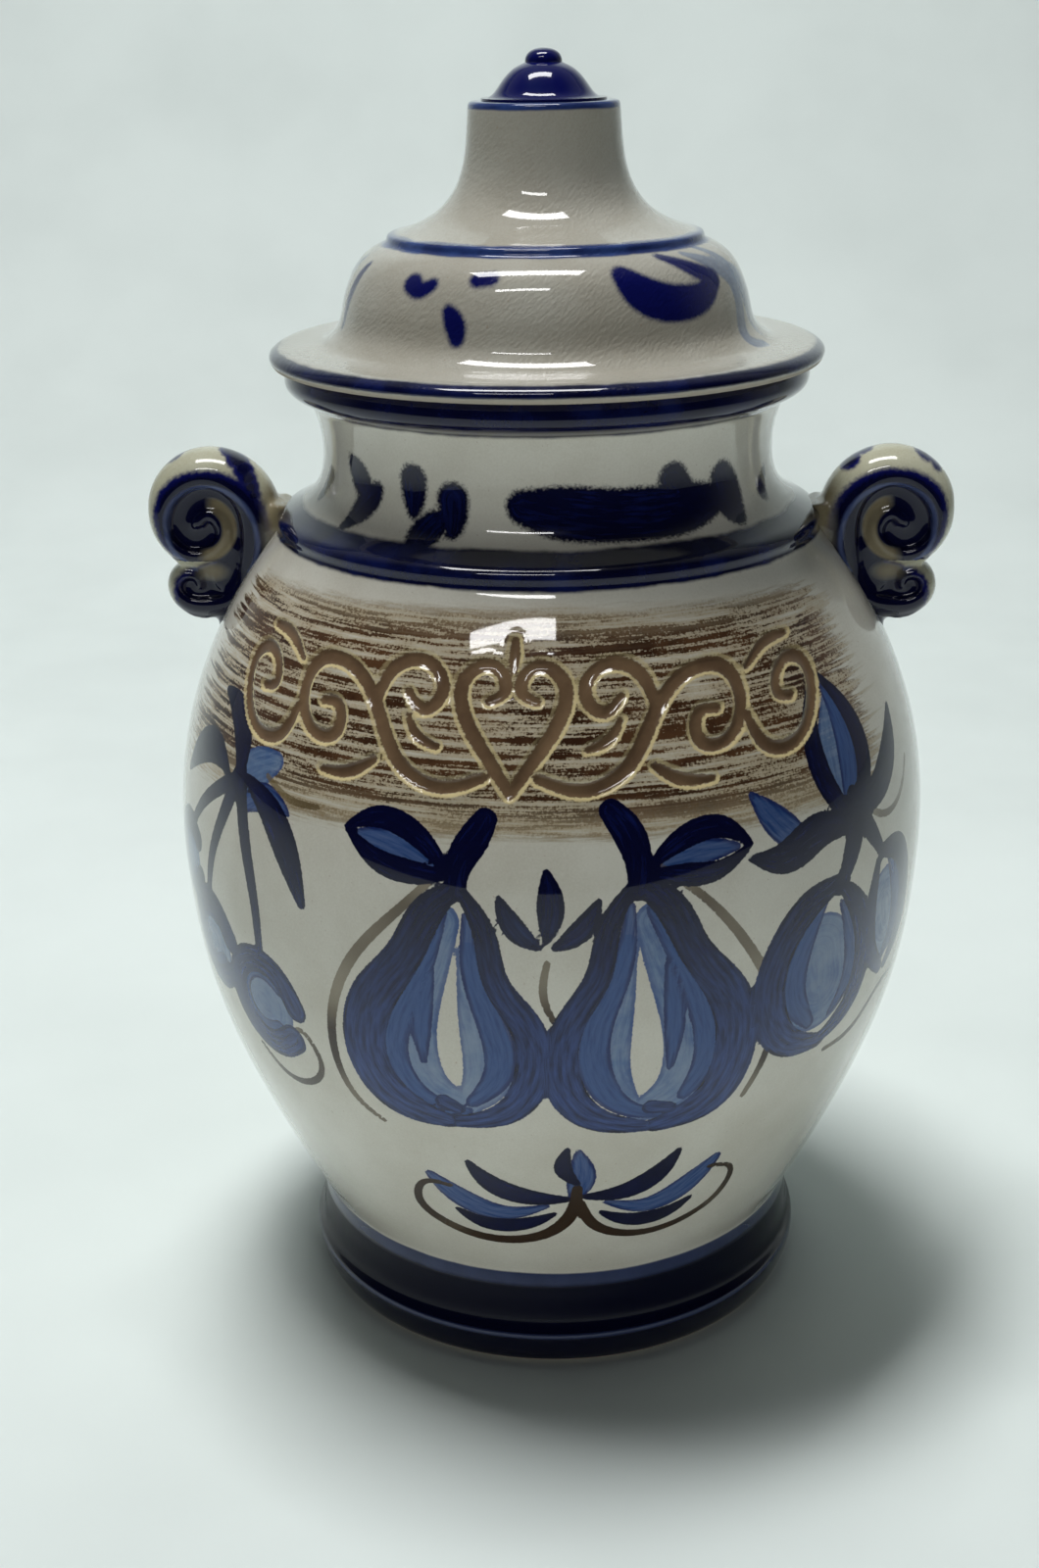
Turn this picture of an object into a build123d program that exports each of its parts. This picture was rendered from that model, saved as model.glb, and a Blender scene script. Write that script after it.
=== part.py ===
from build123d import *
import math
import os

# Rumtopf pot: a glazed stoneware jar with a flaring foot, a round belly, a waisted neck and a
# thick rim, two scroll handles luted to its shoulders, and a domed lid whose hollow chimney is
# closed by a small cap. Millimetres; the origin is the centre of the foot on the table, +Z is up,
# the handles lie along X and the painted front faces -Y.

# Foot and belly
FOOT_RADIUS = 75.9
FOOT_UNDERCUT = 3.4
FOOT_EDGE_HEIGHT = 10.6
WAIST_STEP = 2.9
WAIST_HEIGHT = 25.0
WAIST_LINE_HEIGHT = 5.5
BELLY_RADIUS = 108.7
SHOULDER_HEIGHT = 234.0
FOOT_RING_WIDTH = 11.0
FOOT_RECESS_DEPTH = 3.5

# Collar, neck and rim
NECK_RADIUS = 62.7
NECK_LENGTH = 30.6
MOUTH_WALL = 5.2
COLLAR_PROJECTION = 14.1
COLLAR_STEP = 3.6
COLLAR_BEAD_HEIGHT = 5.4
COLLAR_UNDERCUT = 0.9
RIM_PROJECTION = 9.9
RIM_OVERHANG = 6.8
RIM_ROUND = 1.8
RIM_HEIGHT = 9.8

# Walls of the jar
JAR_WALL = 6.5
FLOOR_THICKNESS = 8.5
FLOOR_ROUND = 12.0

# Lid
FLANGE_OVERHANG = 4.0
FLANGE_WIDTH = 14.6
FLANGE_THICKNESS = 4.6
FLANGE_DISH = 0.6
DOME_STEP = 4.8
DOME_HEIGHT = 26.3
RIDGE_SETBACK = 14.2
RIDGE_HEIGHT = 2.2
CHIMNEY_RADIUS = 20.3
CHIMNEY_RIM_WIDTH = 7.5
CHIMNEY_HEIGHT = 33.5
LID_WALL = 5.0
LOCATING_RING_DEPTH = 7.0
LOCATING_RING_WALL = 5.5
LOCATING_CLEARANCE = 1.5

# Cap of the chimney
CAP_SETBACK = 3.5
CAP_EDGE = 0.6
CAP_HEIGHT = 9.4
BUTTON_RADIUS = 4.9
BUTTON_HEIGHT = 3.6
SPIGOT_DEPTH = 5.0
SPIGOT_CLEARANCE = 0.3

# Scroll handles, seen from the front
HANDLE_WIDTH = 20.0
HANDLE_PROJECTION = 36.9
HANDLE_TOP_ABOVE_COLLAR = 16.8
BIG_SCROLL_RADIUS = 19.4
BIG_EYE_SETBACK = 16.1
BIG_EYE_RISE = 9.0
NOTCH_SETBACK = 7.3
NOTCH_DROP = 10.5
CREST_RUN = 21.1
CREST_DROP = 18.0
SMALL_SCROLL_RADIUS = 9.6
SMALL_SCROLL_SETBACK = 2.4
SMALL_SCROLL_DROP = 8.4
SCROLL_EDGE_ROUND = 4.5
GROOVE_WIDTH = 2.6
GROOVE_DEPTH = 3.2
BIG_GROOVE_START = 15.0
BIG_GROOVE_END = 2.6
SMALL_GROOVE_START = 6.6
SMALL_GROOVE_END = 2.2
ROOT_WIDTH = 15.0
ROOT_OVERRUN = 12.0
ROOT_TOE = 7.5

# Radii that follow from the sizes above
FOOT_BASE_RADIUS = FOOT_RADIUS - FOOT_UNDERCUT
WAIST_RADIUS = FOOT_RADIUS - WAIST_STEP
COLLAR_RADIUS = NECK_RADIUS + COLLAR_PROJECTION
NECK_FOOT_RADIUS = COLLAR_RADIUS - COLLAR_STEP
RIM_RADIUS = NECK_RADIUS + RIM_PROJECTION
RIM_SEAT_RADIUS = RIM_RADIUS - RIM_ROUND
RIM_UNDERCUT_RADIUS = RIM_RADIUS - RIM_OVERHANG
MOUTH_RADIUS = NECK_RADIUS - MOUTH_WALL
FLANGE_RADIUS = RIM_RADIUS + FLANGE_OVERHANG
DOME_FOOT_RADIUS = FLANGE_RADIUS - FLANGE_WIDTH
DOME_RADIUS = DOME_FOOT_RADIUS - DOME_STEP
RIDGE_RADIUS = DOME_RADIUS - RIDGE_SETBACK
BORE_RADIUS = CHIMNEY_RADIUS - CHIMNEY_RIM_WIDTH
SPIGOT_RADIUS = BORE_RADIUS - SPIGOT_CLEARANCE
CAP_RADIUS = CHIMNEY_RADIUS - CAP_SETBACK
HANDLE_REACH = COLLAR_RADIUS + HANDLE_PROJECTION

# Heights that follow from the sizes above
BELLY_START_HEIGHT = WAIST_HEIGHT + WAIST_LINE_HEIGHT
COLLAR_HEIGHT = SHOULDER_HEIGHT + COLLAR_BEAD_HEIGHT / 2
NECK_FOOT_HEIGHT = SHOULDER_HEIGHT + COLLAR_BEAD_HEIGHT
RIM_FOOT_HEIGHT = NECK_FOOT_HEIGHT + NECK_LENGTH
SEAT_HEIGHT = RIM_FOOT_HEIGHT + RIM_HEIGHT
DOME_FOOT_HEIGHT = SEAT_HEIGHT + FLANGE_THICKNESS + FLANGE_DISH
RIDGE_FOOT_HEIGHT = DOME_FOOT_HEIGHT + DOME_HEIGHT
CHIMNEY_FOOT_HEIGHT = RIDGE_FOOT_HEIGHT + RIDGE_HEIGHT
CHIMNEY_TOP_HEIGHT = CHIMNEY_FOOT_HEIGHT + CHIMNEY_HEIGHT
FLOOR_HEIGHT = FOOT_RECESS_DEPTH + FLOOR_THICKNESS
HANDLE_TOP_HEIGHT = COLLAR_HEIGHT + HANDLE_TOP_ABOVE_COLLAR
NOTCH_HEIGHT = HANDLE_TOP_HEIGHT - BIG_SCROLL_RADIUS - NOTCH_DROP

# Spirals of the scrolls: start angle and sweep in degrees, and points per turn
FULL_TURN = 360
GROOVE_STEPS_PER_TURN = 8
BIG_GROOVE_ANGLES = (180, -400)
SMALL_GROOVE_ANGLES = (225, 300)

# Outlines as shares of (radius, height) between the named sizes
BELLY_SHARES = (
    (0.733, 0.062), (0.811, 0.149), (0.899, 0.263), (0.962, 0.379), (0.992, 0.493), (1.0, 0.577),
    (0.990, 0.661), (0.957, 0.745), (0.894, 0.834), (0.814, 0.914),
)
NECK_SHARES = ((0.25, 0.19), (0.0, 0.52), (0.07, 0.77))
FLOOR_CORNER_SHARES = ((0.70, 0.30), (0.93, 0.65))
RIM_SHARES = ((0.55, 0.16), (0.94, 0.36), (1.0, 0.60))
DOME_SHARES = ((1.0, 0.16), (0.885, 0.40), (0.765, 0.60), (0.60, 0.78), (0.30, 0.93))
FOOT_BULGE_SHARE = (0.9, 0.5)
FOOT_COVE_SHARE = (0.62, 0.5)
FLANGE_SEAT_SHARE = 0.25
FLANGE_SIDE_SHARE = 0.42
FLANGE_TOP_SHARE = 0.7
DISH_SHARE = (0.55, 0.25)
RIDGE_CREST_SHARE = 0.75
CHIMNEY_SHARES = ((0.425, 0.16), (0.18, 0.345), (0.075, 0.53), (0.03, 0.74))
CAP_SHARES = ((0.74, 0.10), (0.60, 0.33), (0.44, 0.61), (0.22, 0.86), (0.05, 0.97))
BUTTON_SHARES = ((0.97, 0.35), (0.76, 0.72), (0.42, 0.93))
TOE_SHARE = (0.50, 0.87)
EDGE_ROUND_SHARE = 0.43


def between(start, end, share):
    return start + (end - start) * share


def stretch(shares, radii, heights):
    """Place (radius, height) shares between two radii and two heights."""
    return [(between(*radii, r), between(*heights, h)) for r, h in shares]


def inset(points, depth):
    """Move an open outline towards its left by depth, square to its local run."""
    moved = []
    for index, (radius, height) in enumerate(points):
        before = points[max(index - 1, 0)]
        after = points[min(index + 1, len(points) - 1)]
        run, rise = after[0] - before[0], after[1] - before[1]
        length = math.hypot(run, rise)
        moved.append((radius - depth * rise / length, height + depth * run / length))
    return moved


def turned(*edges):
    """Revolve a closed outline about the pot's axis, with the seam at the back, off the handles."""
    outline = Plane.XZ * make_face(Wire.combine(edges)[0].edges())
    return Rot(Z=90) * revolve(outline, Axis.Z)


def belly_outline():
    start = (WAIST_RADIUS, BELLY_START_HEIGHT)
    end = (COLLAR_RADIUS - COLLAR_UNDERCUT, SHOULDER_HEIGHT)
    shares = stretch(BELLY_SHARES, (0, BELLY_RADIUS), (BELLY_START_HEIGHT, SHOULDER_HEIGHT))
    return [start, *shares, end]


def neck_outline():
    start = (NECK_FOOT_RADIUS, NECK_FOOT_HEIGHT)
    end = (RIM_UNDERCUT_RADIUS, RIM_FOOT_HEIGHT)
    shares = stretch(NECK_SHARES, (NECK_RADIUS, NECK_FOOT_RADIUS), (NECK_FOOT_HEIGHT, RIM_FOOT_HEIGHT))
    return [start, *shares, end]


def rim_outline():
    start = (RIM_UNDERCUT_RADIUS, RIM_FOOT_HEIGHT)
    shares = stretch(RIM_SHARES, (RIM_UNDERCUT_RADIUS, RIM_RADIUS), (RIM_FOOT_HEIGHT, SEAT_HEIGHT))
    return [start, *shares, (RIM_SEAT_RADIUS, SEAT_HEIGHT)]


def jar_outside():
    """Edges of the jar's outer outline, from the foot to the seat of the lid."""
    base = (FOOT_BASE_RADIUS, 0)
    edge = (FOOT_RADIUS, FOOT_EDGE_HEIGHT)
    bulge = (
        between(FOOT_BASE_RADIUS, FOOT_RADIUS, FOOT_BULGE_SHARE[0]),
        FOOT_EDGE_HEIGHT * FOOT_BULGE_SHARE[1],
    )
    waist = (WAIST_RADIUS, WAIST_HEIGHT)
    cove = (
        between(FOOT_RADIUS, WAIST_RADIUS, FOOT_COVE_SHARE[0]),
        between(FOOT_EDGE_HEIGHT, WAIST_HEIGHT, FOOT_COVE_SHARE[1]),
    )
    belly = belly_outline()
    neck = neck_outline()
    crest = (COLLAR_RADIUS, COLLAR_HEIGHT)
    return [
        ThreePointArc(base, bulge, edge),
        ThreePointArc(edge, cove, waist),
        Line(waist, belly[0]),
        Spline(*belly),
        ThreePointArc(belly[-1], crest, neck[0]),
        Spline(*neck),
        Spline(*rim_outline()),
    ]


def jar_inside():
    """Edges of the jar's hollow, from the lip of the mouth to the middle of the floor."""
    wall = inset(belly_outline(), JAR_WALL)[1:-1] + inset(neck_outline(), JAR_WALL)[1:-1]
    lip = (MOUTH_RADIUS, SEAT_HEIGHT)
    throat = (MOUTH_RADIUS, RIM_FOOT_HEIGHT)
    low_radius, low_height = wall[0]
    floor_edge = (low_radius - FLOOR_ROUND, FLOOR_HEIGHT)
    corner = stretch(FLOOR_CORNER_SHARES, (floor_edge[0], low_radius), (FLOOR_HEIGHT, low_height))
    return [
        Line((RIM_SEAT_RADIUS, SEAT_HEIGHT), lip),
        Line(lip, throat),
        Spline(throat, *reversed(wall), *reversed(corner), floor_edge),
        Line(floor_edge, (0, FLOOR_HEIGHT)),
    ]


def jar_body():
    ring_inside = FOOT_BASE_RADIUS - FOOT_RING_WIDTH
    return turned(
        *jar_outside(),
        *jar_inside(),
        Line((0, FLOOR_HEIGHT), (0, FOOT_RECESS_DEPTH)),
        Line((0, FOOT_RECESS_DEPTH), (ring_inside - FOOT_RECESS_DEPTH, FOOT_RECESS_DEPTH)),
        Line((ring_inside - FOOT_RECESS_DEPTH, FOOT_RECESS_DEPTH), (ring_inside, 0)),
        Line((ring_inside, 0), (FOOT_BASE_RADIUS, 0)),
    )


def jar_block():
    """The jar as one filled block, which trims the handles to its skin."""
    top = (0, SEAT_HEIGHT)
    return turned(
        *jar_outside(),
        Line((RIM_SEAT_RADIUS, SEAT_HEIGHT), top),
        Line(top, (0, 0)),
        Line((0, 0), (FOOT_BASE_RADIUS, 0)),
    )


def dome_outline():
    start = (DOME_FOOT_RADIUS, DOME_FOOT_HEIGHT)
    shares = stretch(DOME_SHARES, (RIDGE_RADIUS, DOME_RADIUS), (DOME_FOOT_HEIGHT, RIDGE_FOOT_HEIGHT))
    return [start, *shares, (RIDGE_RADIUS, RIDGE_FOOT_HEIGHT)]


def chimney_outline():
    start = (RIDGE_RADIUS - RIDGE_HEIGHT, CHIMNEY_FOOT_HEIGHT)
    radii = (CHIMNEY_RADIUS, start[0])
    shares = stretch(CHIMNEY_SHARES, radii, (CHIMNEY_FOOT_HEIGHT, CHIMNEY_TOP_HEIGHT))
    return [start, *shares, (CHIMNEY_RADIUS, CHIMNEY_TOP_HEIGHT)]


def flange_seat_edge():
    return (FLANGE_RADIUS - FLANGE_THICKNESS * FLANGE_SEAT_SHARE, SEAT_HEIGHT)


def lid_outside():
    """Edges of the lid's outer outline, from the flange's underside to the chimney's rim."""
    seat_edge = flange_seat_edge()
    flange_side = (FLANGE_RADIUS, SEAT_HEIGHT + FLANGE_THICKNESS * FLANGE_SIDE_SHARE)
    flange_top = (FLANGE_RADIUS - FLANGE_THICKNESS * FLANGE_TOP_SHARE, SEAT_HEIGHT + FLANGE_THICKNESS)
    dome = dome_outline()
    chimney = chimney_outline()
    ridge_crest = (RIDGE_RADIUS, between(RIDGE_FOOT_HEIGHT, CHIMNEY_FOOT_HEIGHT, RIDGE_CREST_SHARE))
    dish = (
        between(flange_top[0], dome[0][0], DISH_SHARE[0]),
        between(flange_top[1], dome[0][1], DISH_SHARE[1]),
    )
    return [
        ThreePointArc(seat_edge, flange_side, flange_top),
        ThreePointArc(flange_top, dish, dome[0]),
        Spline(*dome),
        ThreePointArc(dome[-1], ridge_crest, chimney[0]),
        Spline(*chimney),
    ]


def lid_inside():
    """Edges of the lid's hollow, from the chimney's rim down to the flange's underside."""
    hollow = inset(dome_outline(), LID_WALL)[1:-1] + inset(chimney_outline(), LID_WALL)[1:-1]
    ring_radius = MOUTH_RADIUS - LOCATING_CLEARANCE
    ring_foot_height = SEAT_HEIGHT - LOCATING_RING_DEPTH
    bore_foot = (BORE_RADIUS, CHIMNEY_TOP_HEIGHT - SPIGOT_DEPTH)
    ring_inside = ring_radius - LOCATING_RING_WALL
    return [
        Line((CHIMNEY_RADIUS, CHIMNEY_TOP_HEIGHT), (BORE_RADIUS, CHIMNEY_TOP_HEIGHT)),
        Line((BORE_RADIUS, CHIMNEY_TOP_HEIGHT), bore_foot),
        Spline(bore_foot, *reversed(hollow), (ring_inside, SEAT_HEIGHT)),
        Line((ring_inside, SEAT_HEIGHT), (ring_inside, ring_foot_height)),
        Line((ring_inside, ring_foot_height), (ring_radius, ring_foot_height)),
        Line((ring_radius, ring_foot_height), (ring_radius, SEAT_HEIGHT)),
        Line((ring_radius, SEAT_HEIGHT), flange_seat_edge()),
    ]


def lid():
    return turned(*lid_outside(), *lid_inside())


def lid_cap():
    """The bell-shaped cap with its button, and the spigot that sits in the chimney's bore."""
    edge = (CAP_RADIUS, CHIMNEY_TOP_HEIGHT)
    edge_top = (CAP_RADIUS, CHIMNEY_TOP_HEIGHT + CAP_EDGE)
    waist = (BUTTON_RADIUS, CHIMNEY_TOP_HEIGHT + CAP_HEIGHT)
    tip = (0, waist[1] + BUTTON_HEIGHT)
    bell = stretch(CAP_SHARES, (BUTTON_RADIUS, CAP_RADIUS), (edge_top[1], waist[1]))
    button = stretch(BUTTON_SHARES, (0, BUTTON_RADIUS), (waist[1], tip[1]))
    spigot_foot = CHIMNEY_TOP_HEIGHT - SPIGOT_DEPTH
    return turned(
        Line(edge, edge_top),
        Spline(edge_top, *bell, waist),
        Spline(waist, *button, tip),
        Line(tip, (0, spigot_foot)),
        Line((0, spigot_foot), (SPIGOT_RADIUS, spigot_foot)),
        Line((SPIGOT_RADIUS, spigot_foot), (SPIGOT_RADIUS, CHIMNEY_TOP_HEIGHT)),
        Line((SPIGOT_RADIUS, CHIMNEY_TOP_HEIGHT), edge),
    )


def scroll_groove(eye, reaches, angles):
    """The channel that spirals towards a scroll's eye, cut into its front and its back."""
    start_angle, sweep = angles
    steps = round(abs(sweep) / FULL_TURN * GROOVE_STEPS_PER_TURN)
    points = []
    for step in range(steps + 1):
        share = step / steps
        angle = math.radians(start_angle + sweep * share)
        reach = reaches[0] * (reaches[1] / reaches[0]) ** share
        points.append((eye[0] + reach * math.cos(angle), eye[1] + reach * math.sin(angle)))
    channel = Plane.XZ * trace(Spline(*points), line_width=GROOVE_WIDTH)
    cut = extrude(channel, GROOVE_DEPTH, both=True)
    return Pos(0, -HANDLE_WIDTH / 2, 0) * cut + Pos(0, HANDLE_WIDTH / 2, 0) * cut


def big_scroll(eye):
    """The upper scroll: tangent arcs from behind its crest, over the top and down to the notch."""
    top = (HANDLE_REACH - BIG_SCROLL_RADIUS, HANDLE_TOP_HEIGHT)
    widest = (HANDLE_REACH, HANDLE_TOP_HEIGHT - BIG_SCROLL_RADIUS)
    notch = (HANDLE_REACH - NOTCH_SETBACK, NOTCH_HEIGHT)
    behind = (top[0] - CREST_RUN, top[1] - CREST_DROP)
    outline = Wire.combine([
        TangentArc(top, behind, tangent=(-1, 0)),
        TangentArc(top, widest, tangent=(1, 0)),
        TangentArc(widest, notch, tangent=(0, -1)),
        Line(notch, eye),
        Line(eye, behind),
    ])[0]
    block = extrude(Plane.XZ * make_face(outline.edges()), HANDLE_WIDTH / 2, both=True)
    edge_round = min(SCROLL_EDGE_ROUND, NOTCH_DROP * EDGE_ROUND_SHARE, HANDLE_WIDTH / 3)
    return fillet(block.edges().filter_by(GeomType.CIRCLE), edge_round)


def small_scroll(eye):
    drum = Pos(eye[0], 0, eye[1]) * Rot(X=90) * Cylinder(SMALL_SCROLL_RADIUS, HANDLE_WIDTH)
    rims = drum.edges().filter_by(GeomType.CIRCLE)
    return fillet(rims, min(SCROLL_EDGE_ROUND, HANDLE_WIDTH / 3, SMALL_SCROLL_RADIUS / 2))


def handle_root(big_eye, small_eye):
    """The web behind the two scrolls, which runs into the collar and the shoulder."""
    collar = (COLLAR_RADIUS - ROOT_OVERRUN, COLLAR_HEIGHT)
    crest = (NECK_FOOT_RADIUS, NECK_FOOT_HEIGHT)
    toe = (
        small_eye[0] - SMALL_SCROLL_RADIUS * TOE_SHARE[0],
        small_eye[1] - SMALL_SCROLL_RADIUS * TOE_SHARE[1],
    )
    toe_end = (toe[0] - ROOT_TOE / 2, toe[1] - ROOT_TOE)
    heel = (toe_end[0] - ROOT_OVERRUN, toe_end[1])
    web = make_face(Polyline(collar, crest, big_eye, small_eye, toe, toe_end, heel, close=True))
    return extrude(Plane.XZ * web, ROOT_WIDTH / 2, both=True)


def handle_right():
    """Right scroll handle: a big scroll over a small one, with a root trimmed to the jar."""
    big_eye = (HANDLE_REACH - BIG_EYE_SETBACK, NOTCH_HEIGHT + BIG_EYE_RISE)
    small_eye = (
        HANDLE_REACH - SMALL_SCROLL_SETBACK - SMALL_SCROLL_RADIUS,
        NOTCH_HEIGHT - SMALL_SCROLL_DROP,
    )
    solid = big_scroll(big_eye) + small_scroll(small_eye) + handle_root(big_eye, small_eye)
    solid -= scroll_groove(big_eye, (BIG_GROOVE_START, BIG_GROOVE_END), BIG_GROOVE_ANGLES)
    solid -= scroll_groove(small_eye, (SMALL_GROOVE_START, SMALL_GROOVE_END), SMALL_GROOVE_ANGLES)
    return solid - jar_block()


def main():
    os.makedirs("parts", exist_ok=True)
    right = handle_right()
    nodes = {
        "jar_body": jar_body(),
        "handle_right": right,
        "handle_left": mirror(right, Plane.YZ),
        "lid": lid(),
        "lid_cap": lid_cap(),
    }
    for name, solid in nodes.items():
        export_step(solid, f"parts/{name}.step")
        print(name, len(solid.solids()), "solid", round(solid.volume / 1000), "cm3", solid.is_valid)


main()
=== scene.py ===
import math

import bpy
import numpy as np
from mathutils import Euler, Matrix, Vector


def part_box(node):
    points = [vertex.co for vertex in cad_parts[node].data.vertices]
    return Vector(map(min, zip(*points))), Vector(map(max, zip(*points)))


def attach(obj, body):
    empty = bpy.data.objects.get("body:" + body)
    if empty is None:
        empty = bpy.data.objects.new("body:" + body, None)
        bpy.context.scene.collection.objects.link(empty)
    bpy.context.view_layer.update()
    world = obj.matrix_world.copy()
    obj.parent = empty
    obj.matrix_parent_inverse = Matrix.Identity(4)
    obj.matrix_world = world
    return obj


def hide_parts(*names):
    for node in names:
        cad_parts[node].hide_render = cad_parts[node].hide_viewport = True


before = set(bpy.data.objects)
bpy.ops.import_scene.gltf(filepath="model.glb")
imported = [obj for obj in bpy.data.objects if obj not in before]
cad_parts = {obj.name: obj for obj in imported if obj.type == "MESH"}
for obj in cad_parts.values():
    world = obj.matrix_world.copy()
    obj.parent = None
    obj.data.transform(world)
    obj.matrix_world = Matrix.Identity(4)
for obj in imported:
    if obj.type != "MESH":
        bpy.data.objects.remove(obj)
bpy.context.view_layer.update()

# Lengths are in millimetres in this script and become metres where a mesh is made.
MM = 0.001
MERGE_GAP = MM / 50
TINY = 1e-6


def top_of(node):
    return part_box(node)[1] / MM


# Driving sizes of the thrown pieces, from the frame
BELLY_RADIUS = top_of("jar_body").y
SEAT_HEIGHT = top_of("jar_body").z
FLANGE_RADIUS = top_of("lid").x
CHIMNEY_TOP = top_of("lid").z
HANDLE_REACH = top_of("handle_right").x
HANDLE_TOP = top_of("handle_right").z

# Jar
FOOT_RADIUS = 75.9
FOOT_BASE_RADIUS = 72.5
FOOT_SIDE = (75.56, 5.3)
FOOT_EDGE = 10.6
WAIST_RADIUS = 73.0
WAIST_HEIGHT = 25.0
BELLY_START = 30.5
SHOULDER = 234.0
SHOULDER_RADIUS = 75.9
COLLAR_RADIUS = 76.8
COLLAR_CREST = 236.7
NECK_FOOT_RADIUS = 73.2
NECK_FOOT = 239.4
NECK_RADIUS = 62.7
RIM_UNDERCUT = 65.8
RIM_RADIUS = 72.6
RIM_FOOT = SEAT_HEIGHT - 9.8
SEAT_RADIUS = 70.8
MOUTH_RADIUS = 57.5
WALL = 6.5
FLOOR = 12.0
FLOOR_CORNER = 12.0
RECESS = 3.5
RING_INSIDE = 61.5

# Lid
FLANGE_SEAT_RADIUS = FLANGE_RADIUS - 1.15
FLANGE_NOSE = SEAT_HEIGHT + 1.9
FLANGE_TOP_RADIUS = FLANGE_RADIUS - 3.2
FLANGE_TOP = SEAT_HEIGHT + 4.6
FLANGE_MIDDLE = (67.1, FLANGE_TOP + 0.15)
DOME_FOOT_RADIUS = 62.0
DOME_FOOT = SEAT_HEIGHT + 5.2
DOME_RADIUS = 57.2
RIDGE_RADIUS = 43.0
RIDGE_FOOT = DOME_FOOT + 26.3
RIDGE_TOP = RIDGE_FOOT + 1.6
CHIMNEY_FOOT_RADIUS = RIDGE_RADIUS - 2.2
CHIMNEY_FOOT = RIDGE_FOOT + 2.2
CHIMNEY_RADIUS = 20.3
BORE_RADIUS = 12.8
SPIGOT_DEPTH = 5.0
LID_RING_RADIUS = 56.0
LID_RING_INSIDE = 50.5
LID_RING_FOOT = SEAT_HEIGHT - 7.0
LID_WALL = 5.0

# Outlines as shares of (radius, height) between the sizes above
BELLY_SHARES = (
    (0.733, 0.062), (0.811, 0.149), (0.899, 0.263), (0.962, 0.379), (0.992, 0.493), (1.0, 0.577),
    (0.990, 0.661), (0.957, 0.745), (0.894, 0.834), (0.814, 0.914),
)
COVE_SHARES = ((0.20, 0.07), (0.55, 0.18), (0.80, 0.36), (0.90, 0.64))
NECK_SHARES = ((0.25, 0.19), (0.0, 0.52), (0.07, 0.77))
RIM_SHARES = ((0.55, 0.16), (0.94, 0.36), (1.0, 0.60))
DOME_SHARES = ((1.0, 0.16), (0.885, 0.40), (0.765, 0.60), (0.60, 0.78), (0.30, 0.93))
CHIMNEY_SHARES = ((0.425, 0.16), (0.18, 0.345), (0.075, 0.53), (0.03, 0.74))
FLOOR_CORNER_SHARES = ((0.70, 0.30), (0.93, 0.65))

# Spacing of the rings and staves of a thrown piece
FINE_STEP = 0.5
RIDGE_STEP = 0.6
COVE_STEP = 0.7
FLANGE_STEP = 0.8
CARVED_STEP = 0.85
BEAD_STEP = 1.0
PAINTED_STEP = 1.35
PLAIN_STEP = 3.0
HIDDEN_STEP = 12.0
CARVED_BAND = (180.0, 228.0)
SAMPLES_PER_MM = 8
FEWEST_SAMPLES = 12
WEAR_ROUNDS = 3
FRONT_ANGLE = math.radians(156)
FRONT_STAVES = 224
BACK_STAVES = 52

# The pressed ornament, and the direction, round and up, from which it is lit: on that side of a groove the
# burr stands highest and its pale colour is strongest, a painted highlight
GROOVE_DEPTH = 0.75
GROOVE_LIP = 0.2
GROOVE_SLOPE = 1.1
BURR_HEIGHT = 0.2
BURR_EXTRA = 0.14
BURR_OFFSET = 0.55
BURR_WIDTH = 0.45
LIGHT_SIDE = np.array((0.5, -0.85))

# Painted layers: how far past its edge a stroke is looked for, how deep under the skin a point may lie,
# and what a point far from every stroke keeps as depth, place across, place along and light side
STROKE_MARGIN = 4
SKIN_DEPTH = 1.5
UNPAINTED = (-50.0, 50.0, 0.0, 0.0)

# A curl has a point every so many degrees, but not too few.
CURL_STEP = 40
FEWEST_CURL_STEPS = 4


# Selecting and meshes

def start_fresh():
    if bpy.context.mode != "OBJECT":
        bpy.ops.object.mode_set(mode="OBJECT")
    bpy.ops.object.select_all(action="DESELECT")


def pick(piece):
    start_fresh()
    piece.select_set(True)
    bpy.context.view_layer.objects.active = piece


def apply_modifiers(piece):
    pick(piece)
    for modifier in list(piece.modifiers):
        bpy.ops.object.modifier_apply(modifier=modifier.name)


def new_mesh(name, points, edges=(), faces=()):
    mesh = bpy.data.meshes.new(name)
    mesh.from_pydata([tuple(float(value) * MM for value in point) for point in points], edges, faces)
    piece = bpy.data.objects.new(name, mesh)
    bpy.context.scene.collection.objects.link(piece)
    return piece


def face_outwards(piece, gap=0):
    """Turn the faces outwards, with points closer than gap merged first, and shade them smooth."""
    pick(piece)
    bpy.ops.object.mode_set(mode="EDIT")
    bpy.ops.mesh.select_all(action="SELECT")
    if gap:
        bpy.ops.mesh.remove_doubles(threshold=gap)
    bpy.ops.mesh.normals_make_consistent(inside=False)
    bpy.ops.object.mode_set(mode="OBJECT")
    bpy.ops.object.shade_smooth()


def points_of(piece):
    places = np.empty(len(piece.data.vertices) * 3)
    piece.data.vertices.foreach_get("co", places)
    return places.reshape(-1, 3) / MM


def move_points(piece, places):
    piece.data.vertices.foreach_set("co", (places * MM).ravel())
    piece.data.update()


def keep_layer(piece, name, values):
    layer = piece.data.attributes.new(name, "FLOAT_VECTOR", "POINT")
    layer.data.foreach_set("vector", values.astype(np.float32).ravel())


# Outlines in the plane of radius and height

def between(start, end, share):
    return start + (end - start) * share


def stretch(shares, radii, heights):
    return [(between(*radii, r), between(*heights, h)) for r, h in shares]


def inset(points, depth):
    run = np.gradient(np.array(points, float), axis=0)
    run /= np.hypot(run[:, 0], run[:, 1])[:, None]
    return [tuple(p) for p in np.array(points) + depth * np.c_[-run[:, 1], run[:, 0]]]


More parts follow.
